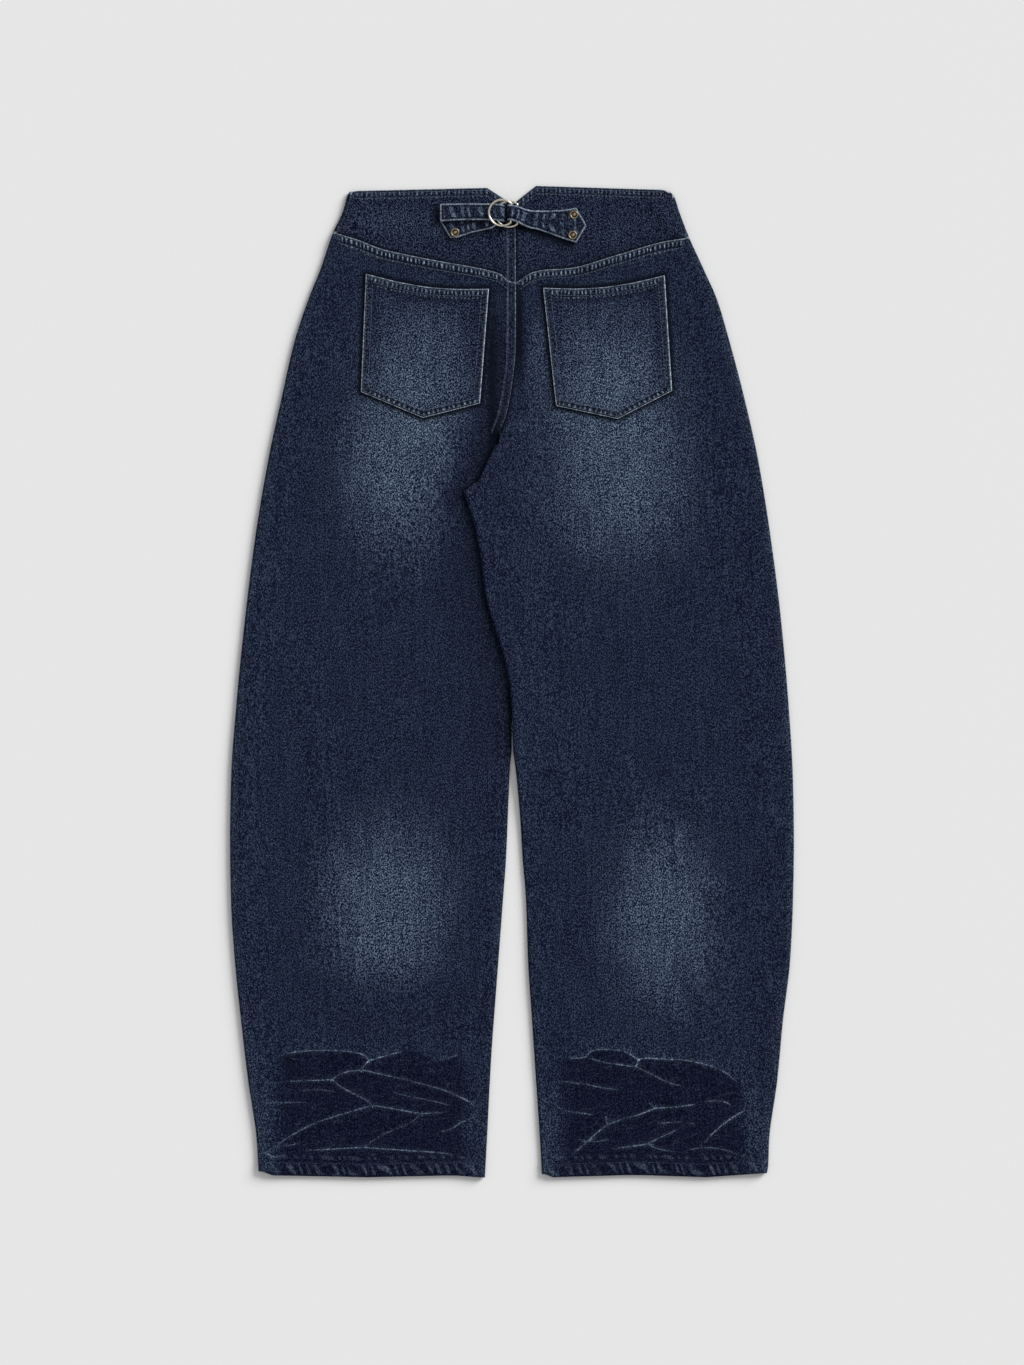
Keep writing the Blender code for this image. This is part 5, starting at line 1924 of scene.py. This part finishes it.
# The photo's height and the waist edge's place in it are in pixels of 1.05 mm
PIXEL = 1.05
PHOTO_HEIGHT = 1365
WAIST_PIXEL = 186
FRAME_HEIGHT = PHOTO_HEIGHT * PIXEL / 1000
CAMERA_HEIGHT = 6.0
SENSOR = 36.0
CAMERA_DOWN = PHOTO_HEIGHT / 2 - WAIST_PIXEL
SKY_STRENGTH = 0.5
KEY_ELEVATION = 25.0
KEY_AZIMUTH = 38.0
KEY_SPREAD = 30.0
FLOOR_SIZE = 14
FLOOR_GAP = 0.0004


def stage():
    """A pale floor, soft light from the upper right and the camera straight above."""
    bpy.ops.mesh.primitive_plane_add(size=FLOOR_SIZE, location=(0, 0, -FLOOR_GAP))
    floor = bpy.context.object
    floor.name = "floor"
    net = Net("floor")
    net.finish(net.mix(net.pattern(SPECKLE), linear(229, 229, 229), linear(232, 232, 232)), 0.9, specular=0.1)
    floor.data.materials.append(net.material)
    world = bpy.data.worlds.new("studio")
    world.use_nodes = True
    background = world.node_tree.nodes["Background"]
    background.inputs["Color"].default_value = (1.0, 1.0, 1.0, 1.0)
    background.inputs["Strength"].default_value = SKY_STRENGTH
    bpy.context.scene.world = world
    sun = bpy.data.lights.new("key", "SUN")
    sun.angle = math.radians(KEY_SPREAD)
    sun.energy = (1 - SKY_STRENGTH) * math.pi / math.sin(math.radians(KEY_ELEVATION))
    lamp = bpy.data.objects.new("key", sun)
    lamp.rotation_euler = (0, math.radians(90 - KEY_ELEVATION), math.radians(KEY_AZIMUTH))
    bpy.context.scene.collection.objects.link(lamp)
    camera = bpy.data.cameras.new("camera")
    camera.sensor_fit = "VERTICAL"
    camera.sensor_height = SENSOR
    camera.lens = SENSOR * CAMERA_HEIGHT / FRAME_HEIGHT
    eye = bpy.data.objects.new("camera", camera)
    eye.location = (0, (LENGTH / 2 - CAMERA_DOWN * PIXEL) / 1000, CAMERA_HEIGHT)
    bpy.context.scene.collection.objects.link(eye)
    bpy.context.scene.camera = eye
    bpy.context.scene.view_settings.view_transform = "Standard"


# How each piece of cloth was cut: width and length in metres, area in square metres
Cut = namedtuple("Cut", "node flat area rests_on slot")
CUTS = [
    Cut("yoke_left", (0.19, 0.10), 0.0130, "waistband_left", "denim"),
    Cut("yoke_right", (0.19, 0.10), 0.0128, "waistband_right", "denim"),
    Cut("back_leg_left", (0.31, 0.995), 0.256, "front_leg_left", "denim"),
    Cut("back_leg_right", (0.345, 0.99), 0.262, "front_leg_right", "denim"),
    Cut("front_leg_left", (0.31, 0.995), 0.258, "back_leg_left", "denim"),
    Cut("front_leg_right", (0.31, 0.995), 0.264, "back_leg_right", "denim"),
    Cut("waistband_left", (0.205, 0.075), 0.0077, "yoke_left", "denim"),
    Cut("waistband_right", (0.205, 0.075), 0.0079, "yoke_right", "denim"),
    Cut("pocket_left", (0.132, 0.152), 0.0167, "back_leg_left", "denim_faded"),
    Cut("pocket_right", (0.136, 0.152), 0.0166, "back_leg_right", "denim_faded"),
    Cut("strap_left", (0.036, 0.135), 0.0030, "yoke_left", "denim_faded"),
    Cut("strap_right", (0.037, 0.10), 0.0023, "yoke_right", "denim_faded"),
]

MATERIALS = {
    "denim": denim("denim", DARK_YARN, DARK_FLECK),
    "denim_crisp": denim("denim_crisp", CRISP_YARN, CRISP_FLECK),
    "denim_inside": denim_inside(),
    "thread": thread("thread", linear(44, 56, 78), linear(104, 118, 138)),
    "thread_dark": thread("thread_dark", linear(22, 29, 48), linear(58, 68, 88)),
    "silver": silver(),
    "brass": brass("brass", linear(84, 74, 58), linear(176, 162, 136)),
    "brass_dark": brass("brass_dark", linear(40, 34, 28), linear(78, 68, 54)),
}


def main():
    stage()
    cloth = {}
    for side in SIDES:
        cloth["yoke_" + side] = yoke(side)
        cloth["back_leg_" + side] = back_panel(side)
        cloth["front_leg_" + side] = front_panel(side)
        cloth["waistband_" + side] = waistband(side)
    for spec in POCKETS:
        cloth["pocket_" + spec.side] = pocket(spec)
    left_turn = turn(STRAP_LEFT[-1], STRAP_LEFT_BACK[0], 1)
    right_turn = turn(STRAP_RIGHT_UNDER[-1], STRAP_RIGHT[0], -1)
    cloth["strap_left"] = strap("cloth_strap_left", STRAP_LEFT + left_turn + STRAP_LEFT_BACK)
    cloth["strap_right"] = strap("cloth_strap_right", STRAP_RIGHT_UNDER + right_turn + STRAP_RIGHT)
    for cut in CUTS:
        piece = cloth[cut.node]
        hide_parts(cut.node)
        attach(piece, "root")
    threads = [cloth_stitches(), dark_stitches(), front_stitches()]
    for stitches in threads + [pocket_stitches(spec) for spec in POCKETS]:
        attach(stitches, "root")
    for ring in RINGS:
        d_ring(ring)
    for rivet in RIVETS:
        place = (rivet.across, rivet.down, rivet.height + GAP)
        turned("cap_" + rivet.name, RIVET_PROFILE, place, rivet.name)
    turned("cap_button", BUTTON_PROFILE, (0, BUTTON_DOWN, 0), "button")


main()
